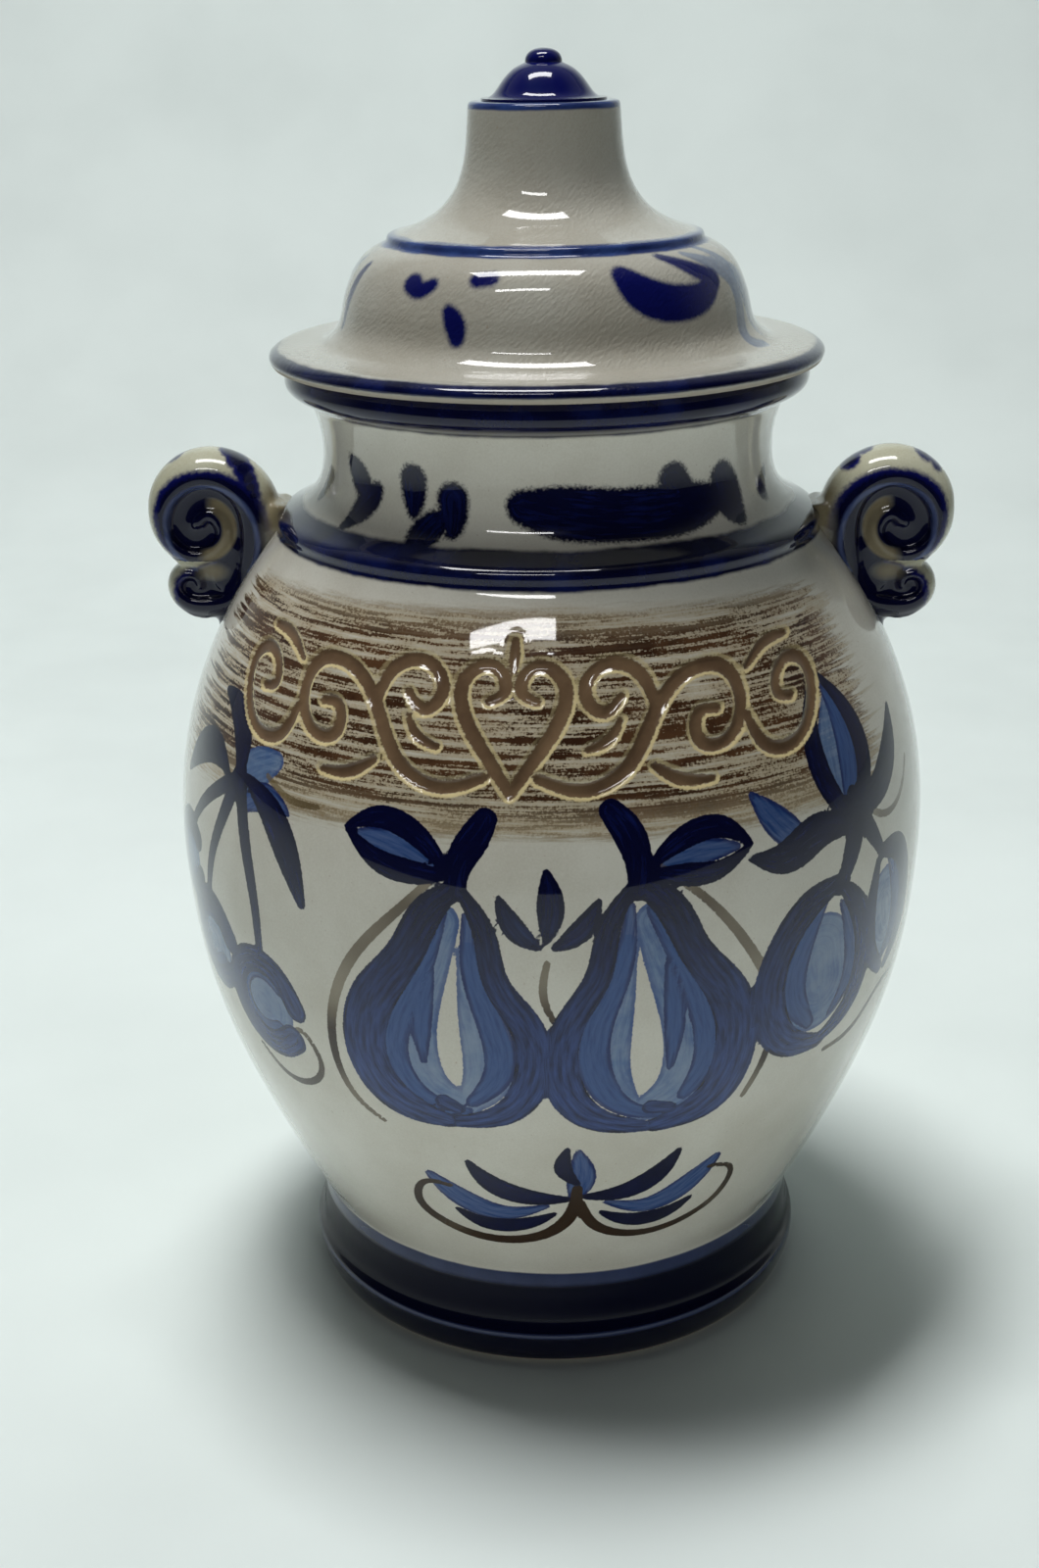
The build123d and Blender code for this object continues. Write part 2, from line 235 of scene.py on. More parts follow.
def flowing(points, shares=None, step=1.0):
    """Sample the natural cubic spline through points, at shares of its length or about a step apart."""
    points = np.array(points, float)
    gaps = np.linalg.norm(np.diff(points[:, :2], axis=0), axis=1)
    knots = np.r_[0, np.cumsum(gaps)]
    if shares is None:
        shares = np.linspace(0, 1, max(2, int(knots[-1] / step) + 1))
    count = len(points)
    system, sides = np.eye(count), np.zeros_like(points)
    for i in range(1, count - 1):
        system[i, i - 1:i + 2] = gaps[i - 1], 2 * (gaps[i - 1] + gaps[i]), gaps[i]
        sides[i] = 6 * ((points[i + 1] - points[i]) / gaps[i] - (points[i] - points[i - 1]) / gaps[i - 1])
    bend = np.linalg.solve(system, sides)
    places = np.asarray(shares) * knots[-1]
    i = np.clip(np.searchsorted(knots, places, side="right") - 1, 0, count - 2)
    gap = gaps[i][:, None]
    ahead = ((places - knots[i]) / gaps[i])[:, None]
    back = 1 - ahead
    return (
        back * points[i] + ahead * points[i + 1]
        + gap ** 2 / 6 * ((back ** 3 - back) * bend[i] + (ahead ** 3 - ahead) * bend[i + 1])
    )


def run_along(points, step, carved_step=None):
    """Follow an outline in steps that close up at its ends and, if it is carved, in the carved band."""
    length = np.hypot(*np.diff(np.array(points), axis=0).T).sum()
    shares = np.linspace(0, 1, max(FEWEST_SAMPLES, int(length * SAMPLES_PER_MM)))
    line = flowing(points, shares)
    gaps = np.minimum(step, FINE_STEP + np.minimum(shares, 1 - shares) * length / 2)
    if carved_step:
        carved = (line[:, 1] > CARVED_BAND[0]) & (line[:, 1] < CARVED_BAND[1])
        gaps = np.where(carved, np.minimum(gaps, carved_step), gaps)
    count = np.r_[0, np.cumsum(length * np.diff(shares) / (gaps[1:] + gaps[:-1]) * 2)]
    places = np.linspace(0, count[-1], max(2, round(count[-1]) + 1))
    return flowing(points, np.interp(places, count, shares))


def joined(*runs):
    """Join runs end to end and wear their corners round, as glaze does."""
    line = np.vstack([runs[0]] + [run[1:] for run in runs[1:]])
    for _ in range(WEAR_ROUNDS):
        line[1:-1] = line[1:-1] / 2 + (line[:-2] + line[2:]) / 4
    return line


def cove_points():
    lip, waist = (FOOT_RADIUS, FOOT_EDGE), (WAIST_RADIUS, WAIST_HEIGHT)
    return [lip, *stretch(COVE_SHARES, (lip[0], waist[0]), (lip[1], waist[1])), waist]


def belly_points():
    shares = stretch(BELLY_SHARES, (0, BELLY_RADIUS), (BELLY_START, SHOULDER))
    return [(WAIST_RADIUS, BELLY_START), *shares, (SHOULDER_RADIUS, SHOULDER)]


def collar_points():
    return [(SHOULDER_RADIUS, SHOULDER), (COLLAR_RADIUS, COLLAR_CREST), (NECK_FOOT_RADIUS, NECK_FOOT)]


def neck_points():
    shares = stretch(NECK_SHARES, (NECK_RADIUS, NECK_FOOT_RADIUS), (NECK_FOOT, RIM_FOOT))
    return [(NECK_FOOT_RADIUS, NECK_FOOT), *shares, (RIM_UNDERCUT, RIM_FOOT)]


def rim_points():
    shares = stretch(RIM_SHARES, (RIM_UNDERCUT, RIM_RADIUS), (RIM_FOOT, SEAT_HEIGHT))
    return [(RIM_UNDERCUT, RIM_FOOT), *shares, (SEAT_RADIUS, SEAT_HEIGHT)]


def jar_outline():
    wall = inset(belly_points(), WALL)[1:-1] + inset(neck_points(), WALL)[1:-1]
    low_radius, low_height = wall[0]
    floor_edge = (low_radius - FLOOR_CORNER, FLOOR)
    corner = stretch(FLOOR_CORNER_SHARES, (floor_edge[0], low_radius), (FLOOR, low_height))
    throat = (MOUTH_RADIUS, RIM_FOOT)
    return joined(
        run_along([(0, RECESS), (RING_INSIDE - RECESS, RECESS)], HIDDEN_STEP),
        run_along([(RING_INSIDE - RECESS, RECESS), (RING_INSIDE, 0)], PLAIN_STEP),
        run_along([(RING_INSIDE, 0), (FOOT_BASE_RADIUS, 0)], PLAIN_STEP),
        run_along([(FOOT_BASE_RADIUS, 0), FOOT_SIDE, (FOOT_RADIUS, FOOT_EDGE)], PLAIN_STEP),
        run_along(cove_points(), COVE_STEP),
        run_along([(WAIST_RADIUS, WAIST_HEIGHT), (WAIST_RADIUS, BELLY_START)], PLAIN_STEP),
        run_along(belly_points(), PAINTED_STEP, CARVED_STEP),
        run_along(collar_points(), BEAD_STEP),
        run_along(neck_points(), PAINTED_STEP),
        run_along(rim_points(), BEAD_STEP),
        run_along([(SEAT_RADIUS, SEAT_HEIGHT), (MOUTH_RADIUS, SEAT_HEIGHT)], PLAIN_STEP),
        run_along([(MOUTH_RADIUS, SEAT_HEIGHT), throat], PLAIN_STEP),
        run_along([throat, *reversed(wall), *reversed(corner), floor_edge], HIDDEN_STEP),
        run_along([floor_edge, (0, FLOOR)], HIDDEN_STEP),
    )


def dome_points():
    shares = stretch(DOME_SHARES, (RIDGE_RADIUS, DOME_RADIUS), (DOME_FOOT, RIDGE_FOOT))
    return [(DOME_FOOT_RADIUS, DOME_FOOT), *shares, (RIDGE_RADIUS, RIDGE_FOOT)]


def chimney_points():
    start = (CHIMNEY_FOOT_RADIUS, CHIMNEY_FOOT)
    shares = stretch(CHIMNEY_SHARES, (CHIMNEY_RADIUS, start[0]), (CHIMNEY_FOOT, CHIMNEY_TOP))
    return [start, *shares, (CHIMNEY_RADIUS, CHIMNEY_TOP)]


def lid_outline():
    seat_edge, flange_edge = (FLANGE_SEAT_RADIUS, SEAT_HEIGHT), (FLANGE_TOP_RADIUS, FLANGE_TOP)
    ridge = [(RIDGE_RADIUS, RIDGE_FOOT), (RIDGE_RADIUS, RIDGE_TOP), (CHIMNEY_FOOT_RADIUS, CHIMNEY_FOOT)]
    hollow = inset(dome_points(), LID_WALL)[1:-1] + inset(chimney_points(), LID_WALL)[1:-1]
    bore_foot = (BORE_RADIUS, CHIMNEY_TOP - SPIGOT_DEPTH)
    ring_top, ring_foot = (LID_RING_INSIDE, SEAT_HEIGHT), (LID_RING_INSIDE, LID_RING_FOOT)
    return joined(
        run_along([seat_edge, (FLANGE_RADIUS, FLANGE_NOSE), flange_edge], FLANGE_STEP),
        run_along([flange_edge, FLANGE_MIDDLE, (DOME_FOOT_RADIUS, DOME_FOOT)], PLAIN_STEP),
        run_along(dome_points(), PAINTED_STEP),
        run_along(ridge, RIDGE_STEP),
        run_along(chimney_points(), PAINTED_STEP),
        run_along([(CHIMNEY_RADIUS, CHIMNEY_TOP), (BORE_RADIUS, CHIMNEY_TOP)], PLAIN_STEP),
        run_along([(BORE_RADIUS, CHIMNEY_TOP), bore_foot], PLAIN_STEP),
        run_along([bore_foot, *reversed(hollow), ring_top], HIDDEN_STEP),
        run_along([ring_top, ring_foot], PLAIN_STEP),
        run_along([ring_foot, (LID_RING_RADIUS, LID_RING_FOOT)], PLAIN_STEP),
        run_along([(LID_RING_RADIUS, LID_RING_FOOT), (LID_RING_RADIUS, SEAT_HEIGHT)], PLAIN_STEP),
        run_along([(LID_RING_RADIUS, SEAT_HEIGHT), seat_edge], PLAIN_STEP),
    )


def sweep_round(name, outline, start, angle, staves):
    """Turn an outline about Z from a start, counted from the front, through an angle."""
    points = [(r * math.sin(start), -r * math.cos(start), z) for r, z in outline]
    piece = new_mesh(name, points, edges=[(i, i + 1) for i in range(len(points) - 1)])
    turn = piece.modifiers.new("turn", "SCREW")
    turn.angle = angle
    turn.steps = turn.render_steps = staves
    turn.use_smooth_shade = True
    apply_modifiers(piece)
    return piece


def throw(name, outline):
    """Turn an outline about Z: closely spaced staves at the painted front, wider ones behind."""
    back = sweep_round(name + "_back", outline, FRONT_ANGLE / 2, math.tau - FRONT_ANGLE, BACK_STAVES)
    piece = sweep_round(name, outline, -FRONT_ANGLE / 2, FRONT_ANGLE, FRONT_STAVES)
    pick(piece)
    back.select_set(True)
    bpy.ops.object.join()
    face_outwards(piece, MERGE_GAP)
    return piece


# Brush strokes on a thrown piece: each is a soft line of (x, y, width), x round the pot and y up its
# side from the centre of its motif.

class Skin:
    """The outside of a thrown piece, unrolled into millimetres round and millimetres up."""

    def __init__(self, piece, outline, lowest, highest):
        self.places = points_of(piece)
        outside = outline[(outline[:, 1] >= lowest) & (outline[:, 1] <= highest)]
        outside = outside[:np.argmax(outside[:, 1]) + 1]
        self.heights = outside[:, 1]
        self.ups = np.r_[0, np.cumsum(np.hypot(*np.diff(outside, axis=0).T))]
        self.radii = outside[:, 0]
        x, y, z = self.places.T
        self.radius = np.hypot(x, y)
        self.turn = np.degrees(np.arctan2(x, -y))
        self.up = np.interp(z, self.heights, self.ups)
        skin_radius = np.interp(z, self.heights, self.radii)
        self.shown = (z >= lowest) & (z <= highest) & (self.radius > skin_radius - SKIN_DEPTH)

    def unrolled(self, turn, height):
        round_about = (self.turn - turn + 180) % 360 - 180
        across = np.radians(round_about) * self.radius
        return np.c_[across, self.up - np.interp(height, self.heights, self.ups)]

    def paint(self, motifs):
        """Depth inside a stroke, place across it, place along it and light side, for each point."""
        found = np.tile(UNPAINTED, (len(self.places), 1))
        for (turn, height), strokes in motifs:
            flat = self.unrolled(turn, height)
            for stroke in strokes:
                line = flowing(stroke, step=1.0)
                reach = line[:, 2].max() / 2 + STROKE_MARGIN
                low, high = line[:, :2].min(0) - reach, line[:, :2].max(0) + reach
                near = self.shown & np.all((flat > low) & (flat < high), axis=1)
                new = against(flat[near], line)
                found[near] = np.where(new[:, :1] > found[near][:, :1], new, found[near])
        return found

    def marks(self, strokes):
        """Motifs for loose strokes that are given as (turn in degrees, height, width)."""
        found = []
        for stroke in strokes:
            turn, height, _ = stroke[0]
            start = np.interp(height, self.heights, self.ups)
            line = [
                (
                    math.radians(t - turn) * np.interp(z, self.heights, self.radii),
                    np.interp(z, self.heights, self.ups) - start,
                    width,
                )
                for t, z, width in stroke
            ]
            found.append(((turn, height), [line]))
        return found


def against(points, line):
    """Depth inside a stroke, signed offset from it, place along it and light side, for each point."""
    starts, runs = line[:-1, :2], np.diff(line[:, :2], axis=0)
    offsets = points[:, None, :] - starts
    along = np.clip((offsets * runs).sum(2) / (runs ** 2).sum(1), 0, 1)
    gaps = offsets - along[..., None] * runs
    distance = np.hypot(gaps[..., 0], gaps[..., 1])
    half = (line[:-1, 2] + along * np.diff(line[:, 2])) / 2
    depth = half - distance
    best = depth.argmax(1)
    rows = np.arange(len(points))
    side = np.sign(runs[best, 0] * gaps[rows, best, 1] - runs[best, 1] * gaps[rows, best, 0])
    far = best + along[rows, best]
    light = gaps[rows, best] @ LIGHT_SIDE / np.maximum(distance[rows, best], TINY)
    return np.c_[depth[rows, best], side * distance[rows, best], far, light]


def mirrored(strokes):
    return [[(-x, y, width) for x, y, width in stroke] for stroke in strokes]


def curl(centre, radius, start, sweep, widths, tightness=0.8):
    """A spiral stroke that tightens as it goes; its start and sweep are in degrees."""
    steps = max(FEWEST_CURL_STEPS, int(abs(sweep) / CURL_STEP))
    stroke = []
    for step in range(steps + 1):
        share = step / steps
        angle = math.radians(start + sweep * share)
        reach = radius * (1 - tightness * share)
        width = between(*widths, share)
        stroke.append((centre[0] + reach * math.cos(angle), centre[1] + reach * math.sin(angle), width))
    return stroke


# Design: two pears, with cherries at the left and plums at the right, a small leaf sprig below and
# a leaf spray behind, all in cobalt; a mirrored vine scroll is cut into the brown band above.

PEAR_PLACE = (1.5, 134)
PEAR_WASH = [
    [(-27, 22, 10), (-33, 6, 14), (-37, -14, 16), (-32, -29, 14), (-22, -34, 8)],
    [(-20, 14, 6), (-17, -8, 12), (-16, -24, 13), (-22, -34, 6)],
    [(27, 22, 10), (33, 6, 14), (38, -14, 16), (34, -30, 14), (24, -36, 8)],
    [(20, 16, 6), (16, -6, 12), (15, -22, 13), (22, -35, 6)],
]
PEAR_MIDDLE = [
    [(-27, 25, 4), (-33, 10, 8), (-40, -6, 10), (-42, -20, 10), (-34, -33, 8), (-22, -36, 4)],
    [(-20, 24, 3), (-19, 8, 6), (-14, -8, 8), (-13, -22, 8), (-20, -32, 4)],
    [(21, 26, 3), (19, 10, 6), (13, -6, 8), (12, -20, 9), (20, -34, 6), (30, -38, 3)],
    [(27, 25, 4), (35, 10, 7), (42, -8, 9), (42, -22, 8), (36, -32, 4)],
    [(-30, 8, 2), (-33, -6, 6), (-33, -20, 2)],
    [(31, 10, 2), (33, -6, 6), (32, -22, 2)],
    [(28, 36, 2), (38, 38, 7), (50, 38, 2)],
    [(-28, 36, 2), (-38, 40, 8), (-50, 42, 2)],
]
PEAR_NAVY = [
    [(-23, 31, 4), (-29, 26, 8), (-37, 12, 10), (-47, -3, 13), (-50, -20, 13), (-41, -35, 11), (-27, -40, 5)],
    [(-22, 31, 3), (-16, 20, 6), (-13, 6, 7), (-6, -6, 9), (-4, -22, 10), (-11, -35, 8), (-25, -40, 4)],
    [(23, 32, 4), (30, 27, 8), (38, 13, 9), (48, -2, 12), (51, -19, 13), (43, -36, 11), (28, -42, 5)],
    [(22, 32, 3), (16, 22, 6), (13, 8, 7), (6, -5, 8), (3, -20, 10), (10, -36, 9), (26, -42, 4)],
    [(-23, 30, 5), (-22, 37, 7), (-18, 44, 8), (-15, 49, 6)],
    [(23, 30, 5), (23, 38, 7), (20, 46, 8), (16, 51, 6)],
    [(-25, 35, 2), (-32, 43, 6), (-42, 47, 6), (-53, 43, 1.5)],
    [(-25, 34, 2), (-33, 34, 6), (-44, 36, 6), (-53, 43, 1.5)],
    [(26, 36, 2), (34, 42, 6), (44, 44, 6), (54, 38, 1.5)],
    [(26, 34, 2), (35, 33, 6), (45, 33, 5), (54, 38, 1.5)],
    [(-28, -33, 5), (-24, -35, 4)],
    [(27, -35, 5), (32, -36, 4)],
    [(0, 18, 2), (1, 26, 7), (0, 36, 2)],
    [(-2, 16, 2), (-8, 21, 6), (-12, 29, 2)],
    [(2, 16, 2), (8, 20, 6), (13, 28, 2)],
]
PEAR_LINES = [
    [(-25, 37, 1.8), (-38, 24, 2.6), (-51, 10, 3.2), (-60, -10, 3.2), (-60, -26, 2.6), (-53, -40, 2),
     (-46, -45, 1.6)],
    [(27, 37, 1.8), (41, 26, 2.4), (54, 10, 3), (62, -8, 3), (61, -24, 2.4), (54, -38, 1.8)],
    [(0, 12, 1.8), (-1, 2, 2.2), (2, -6, 1.6)],
]

CHERRY_PLACE = (-51, 150)
CHERRY_WASH = [
    [(-16, -22, 20), (-15, -24, 20)], [(10, -32, 22), (11, -33, 22)], [(-30, -2, 16), (-29, -2, 16)],
    [(0, 26, 6), (8, 34, 12), (16, 38, 6)],
]
CHERRY_MIDDLE = [
    curl((-16, -23), 9, 60, 250, (4, 7), 0.1),
    curl((10.5, -33), 10, 40, 260, (4, 7), 0.1),
    curl((-30, -2), 7.5, 80, 230, (4, 6), 0.1),
    [(4, 22, 2), (14, 28, 8), (24, 26, 2)],
]
CHERRY_NAVY = [
    curl((-16, -23), 12.5, 20, 300, (9, 7), 0.05),
    curl((10.5, -33), 13.5, 10, 310, (8, 9), 0.05),
    curl((-30, -2), 10.5, 40, 300, (7, 6), 0.05),
    [(-15, -10, 3), (-10, 6, 4), (-3, 20, 5), (2, 32, 6)],
    [(12, -18, 3), (12, -2, 4), (8, 14, 5), (3, 30, 5)],
    [(-27, 8, 3), (-17, 18, 4), (-2, 28, 5)],
    [(6, 31, 3), (16, 26, 8), (25, 16, 9), (31, 3, 3)],
    [(-4, 30, 2), (-14, 34, 9), (-26, 30, 9), (-34, 22, 2)],
    [(2, 30, 3), (0, 40, 8), (-8, 48, 7), (-16, 50, 2)],
]
CHERRY_LINES = [
    [(2, -50, 1.8), (12, -57, 2.2), (24, -54, 2.2), (29, -44, 2), (24, -37, 1.8), (19, -43, 1.6)],
    [(14, 34, 1.6), (24, 30, 2), (34, 30, 1.6)],
]

PLUM_PLACE = (48, 148)
PLUM_WASH = [
    [(-10, -14, 26), (-8, -22, 30)], [(22, -8, 22), (24, -14, 24)],
    [(4, 22, 6), (2, 40, 14), (4, 54, 5)],
]
PLUM_MIDDLE = [
    [(-8, 4, 3), (-16, -8, 8), (-18, -22, 9), (-10, -34, 4)],
    [(-2, 0, 2), (4, -12, 7), (4, -26, 6), (-2, -34, 2)],
    [(22, 6, 2), (28, -4, 7), (30, -16, 7), (24, -26, 3)],
    [(2, 20, 2), (6, 34, 9), (6, 48, 7), (3, 58, 2)],
    [(-12, 18, 2), (-22, 26, 9), (-30, 36, 2)],
]
PLUM_NAVY = [
    [(-4, 6, 5), (-14, 3, 9), (-24, -8, 10), (-26, -24, 11), (-17, -38, 9), (-4, -42, 5)],
    [(-3, 6, 3), (6, -4, 8), (11, -18, 9), (7, -34, 8), (-5, -42, 4)],
    [(18, 8, 4), (28, 6, 8), (36, -6, 8), (36, -20, 8), (28, -30, 4)],
    [(16, 6, 3), (13, -6, 6), (15, -20, 7), (24, -30, 4)],
    [(-3, 4, 4), (2, 12, 7), (5, 20, 8), (5, 28, 5)],
    [(18, 8, 3), (12, 16, 6), (6, 24, 6)],
    [(3, 22, 4), (-5, 34, 7), (-6, 48, 6), (1, 62, 1.5)],
    [(4, 22, 4), (12, 32, 7), (11, 48, 6), (2, 62, 1.5)],
    [(2, 20, 4), (-10, 22, 10), (-22, 18, 9), (-33, 20, 2)],
    [(6, 22, 3), (18, 26, 9), (28, 34, 9), (34, 44, 2)],
]
PLUM_LINES = [
    [(0, -47, 1.8), (14, -45, 2.2), (27, -37, 2), (38, -36, 1.6)],
    [(8, 26, 1.6), (20, 18, 2.2), (32, 20, 1.8), (40, 28, 1.6)],
]

SPRIG_PLACE = (6, 63)
SPRIG_MIDDLE = [
    [(-8, 0, 2), (-20, -4, 7), (-33, 2, 8), (-41, 10, 3)],
    [(8, 1, 2), (20, -3, 7), (32, 4, 8), (40, 13, 3)],
    [(-1, 2, 2), (1, 12, 8), (0, 24, 2)],
]
SPRIG_NAVY = [
    [(-3, 3, 3), (-13, 4, 7), (-23, 9, 7), (-30, 18, 2)],
    [(3, 4, 3), (13, 5, 7), (22, 11, 7), (28, 20, 2)],
    [(-6, -4, 2), (-14, -9, 6), (-25, -10, 6), (-33, -5, 2)],
    [(7, -4, 2), (15, -9, 6), (25, -9, 6), (33, -4, 2)],
    [(0, 10, 2), (-4, 17, 5), (-3, 25, 1.8)],
]
SPRIG_LINES = [
    [(0, 8, 3), (-1, -3, 4.2), (-8, -14, 4.4), (-22, -18, 4), (-37, -13, 3.4), (-45, -3, 2.8), (-42, 6, 2.2),
     (-35, 6, 1.8)],
    [(1, 1, 3), (6, -11, 3.8), (18, -17, 3.4), (33, -14, 2.8), (44, -4, 2.4), (45, 6, 2), (38, 9, 1.8)],
]

SPRAY_PLACE = (182, 130)
# Leaf pairs of the spray as (height of the foot, reach)
SPRAY_PAIRS = ((-26, 22), (-8, 27), (10, 24), (26, 18))
SPRAY_LEAVES = [
    [(0, foot, 2), (reach / 2, foot + 4, 9), (reach, foot + 14, 2)] for foot, reach in SPRAY_PAIRS
]
SPRAY_NAVY = [
    [(0, -40, 3), (-3, -20, 5), (2, 4, 5), (0, 34, 3)],
    [(0, 30, 3), (-4, 42, 9), (2, 56, 2)],
    *mirrored(SPRAY_LEAVES), *SPRAY_LEAVES,
]

NECK_DABS = [
    [(-52.5, 258, 5), (-50, 255, 8), (-47.5, 252, 7)],
    [(-43, 252, 5.5), (-45.5, 249.2, 8.5), (-48.5, 245, 7), (-50, 242.5, 4)],
    [(-31.2, 256.8, 8.5), (-31, 252.5, 7.5), (-30.5, 248.2, 3.5)],
    [(-20.5, 252.8, 9), (-20, 248.5, 8), (-19.5, 245, 5)],
    [(-24.5, 246.6, 7), (-26.4, 243.8, 10), (-27.2, 241.6, 6)],
    [(-3.5, 251.6, 9), (4, 250.2, 13.5), (16, 248.8, 14.5), (28, 248.4, 14.5), (38, 248.6, 13),
     (46, 249.4, 8)],
    [(33, 256.6, 9), (36, 252, 9)],
    [(48.6, 254.6, 9), (50.4, 249, 12), (50.6, 244.6, 7)],
    [(66, 247.7, 6), (70, 252, 3)],
    [(-70, 246, 4), (-66, 252, 5)],
    [(150, 252, 6), (158, 248.5, 9), (170, 248, 8)],
    [(186, 255, 6), (190, 249, 6)],
    [(206, 246, 5), (214, 251, 7), (222, 255, 4)],
]

LID_DABS = [
    [(-38.5, 304.6, 6), (-35.5, 303.2, 5), (-31.5, 304.6, 4)],
    [(-17.4, 306.2, 4.5), (-13.5, 306.6, 4.5)],
    [(-24.6, 298.8, 3.5), (-22.4, 295.8, 6), (-21.4, 292.2, 4.5)],
    [(24.6, 306.8, 6), (28, 303.4, 9.5), (34, 300.4, 10.5), (43, 299.2, 9.5), (52, 300.4, 7.5), (58, 303, 5)],
    [(41, 310, 3), (49, 307.2, 5), (58, 303.6, 6)],
    [(-66, 307, 2.5), (-70, 300, 4), (-72, 291, 2.5)],
    [(140, 308, 3), (150, 301, 8), (164, 299, 7), (174, 303, 3)],
    [(200, 305, 6), (206, 301, 5)],
    [(222, 307, 3), (229, 299, 7), (232, 292, 3)],
]
LID_WASH = [
    [(52, 310, 2), (61, 307, 5), (68, 302.4, 5), (69, 294, 6), (67, 287.4, 5), (73, 285.4, 3)],
    [(62, 311, 2), (71, 306, 4), (76, 296, 5), (80, 286.4, 3)],
    [(63, 308, 2), (80, 300, 5), (86, 290, 4)],
    [(-76, 308, 2), (-84, 298, 6), (-86, 288, 3)],
]

SCROLL_PLACE = (-3.5, 205)
SCROLL_HALF = [
    [(0, -18, 3.4), (6, -9, 4.2), (12, 1, 4.4), (12, 11, 4.2), (5, 14, 4), (2, 8, 3.8), (6, 5, 3)],
    [(7, -14, 3.4), (18, -17, 4.2), (29, -12, 4.6), (35, -1, 4.6), (42, 9, 4.6), (53, 11, 4.4), (60, 2, 4.2),
     (56, -8, 4.2), (48, -7, 4), (48, 0, 3.8), (53, 0, 3)],
    [(36, 3, 3.4), (31, 12, 4.2), (22, 14, 4.2), (18, 7, 4), (23, 2, 3.8), (27, 6, 3)],
    [(62, -3, 3), (69, -12, 4.2), (79, -12, 4.2), (85, -3, 4.2), (82, 7, 4), (74, 8, 4), (72, 1, 3.6),
     (77, -1, 3)],
    [(36, -12, 2.6), (43, -16, 4), (52, -17, 2.6)],
    [(19, -7, 2.6), (24, -5, 3.4), (27, 0, 2.4)],
    [(62, 9, 2.4), (68, 14, 3.8), (76, 15, 2.6)],
]
SCROLL_STEM = [[(0, 21, 2.6), (0, 16, 3.4), (0, 13, 2.4)]]


def jar_layers(skin):
    scroll = skin.paint([(SCROLL_PLACE, SCROLL_HALF + mirrored(SCROLL_HALF) + SCROLL_STEM)])
    wash = [(PEAR_PLACE, PEAR_WASH), (CHERRY_PLACE, CHERRY_WASH), (PLUM_PLACE, PLUM_WASH)]
    middle = [
        (PEAR_PLACE, PEAR_MIDDLE), (CHERRY_PLACE, CHERRY_MIDDLE), (PLUM_PLACE, PLUM_MIDDLE),
        (SPRIG_PLACE, SPRIG_MIDDLE),
    ]
    navy = [
        (PEAR_PLACE, PEAR_NAVY), (CHERRY_PLACE, CHERRY_NAVY), (PLUM_PLACE, PLUM_NAVY),
        (SPRIG_PLACE, SPRIG_NAVY), (SPRAY_PLACE, SPRAY_NAVY), *skin.marks(NECK_DABS),
    ]
    lines = [
        (PEAR_PLACE, PEAR_LINES), (CHERRY_PLACE, CHERRY_LINES), (PLUM_PLACE, PLUM_LINES),
        (SPRIG_PLACE, SPRIG_LINES),
    ]
    coats = {"wash": wash, "middle": middle, "navy": navy, "lines": lines}
    painted = {name: skin.paint(motifs)[:, :3] for name, motifs in coats.items()}
    return {"groove": scroll[:, [0, 3, 2]], **painted}


def carve(piece, skin, groove):
    """Press the scroll into the clay, with a low burr along both sides."""
    depth = groove[:, 0]
    share = np.clip((depth + GROOVE_LIP) / GROOVE_SLOPE, 0, 1)
    cut = GROOVE_DEPTH * share ** 2 * (3 - 2 * share)
    burr = (BURR_HEIGHT + BURR_EXTRA * groove[:, 1]) * np.exp(-((depth + BURR_OFFSET) / BURR_WIDTH) ** 2)
    x, y, z = skin.places.T
    slope = np.gradient(skin.radii) / np.maximum(np.gradient(skin.ups), TINY)
    lean = np.interp(z, skin.heights, slope)
    radius = np.maximum(skin.radius, TINY)
    out = np.c_[x / radius, y / radius, -lean]
    out[:, :2] *= np.sqrt(np.clip(1 - lean ** 2, 0, 1))[:, None]
    shift = np.where(skin.shown, burr - cut, 0)
    move_points(piece, skin.places + out * shift[:, None])


# Shader maths

class Signal:
    """A socket of a node tree; arithmetic on it adds the Math nodes."""

    def __init__(self, nodes, socket):
        self.nodes = nodes
        self.socket = socket

    def math(self, operation, *others):
        values = {i: other for i, other in enumerate((self, *others))}
        return self.nodes.add("ShaderNodeMath", {"operation": operation}, values)

    def __add__(self, other):
        return self.math("ADD", other)

    __radd__ = __add__

    def __sub__(self, other):
        return self.math("SUBTRACT", other)

    def __rsub__(self, other):
        return (self * -1) + other

    def __mul__(self, other):
        return self.math("MULTIPLY", other)

    __rmul__ = __mul__

    def __abs__(self):
        return self.math("ABSOLUTE")

    def least(self, other):
        return self.math("MINIMUM", other)

    def most(self, other):
        return self.math("MAXIMUM", other)

    def rise(self, low, high):
        """0 below low, 1 above high, and a soft slope between them."""
        values = {"Value": self, "From Min": low, "From Max": high}
        return self.nodes.add("ShaderNodeMapRange", {"interpolation_type": "SMOOTHSTEP"}, values)

    def band(self, low, high, soft):
        return self.rise(low - soft, low + soft) * (1 - self.rise(high - soft, high + soft))


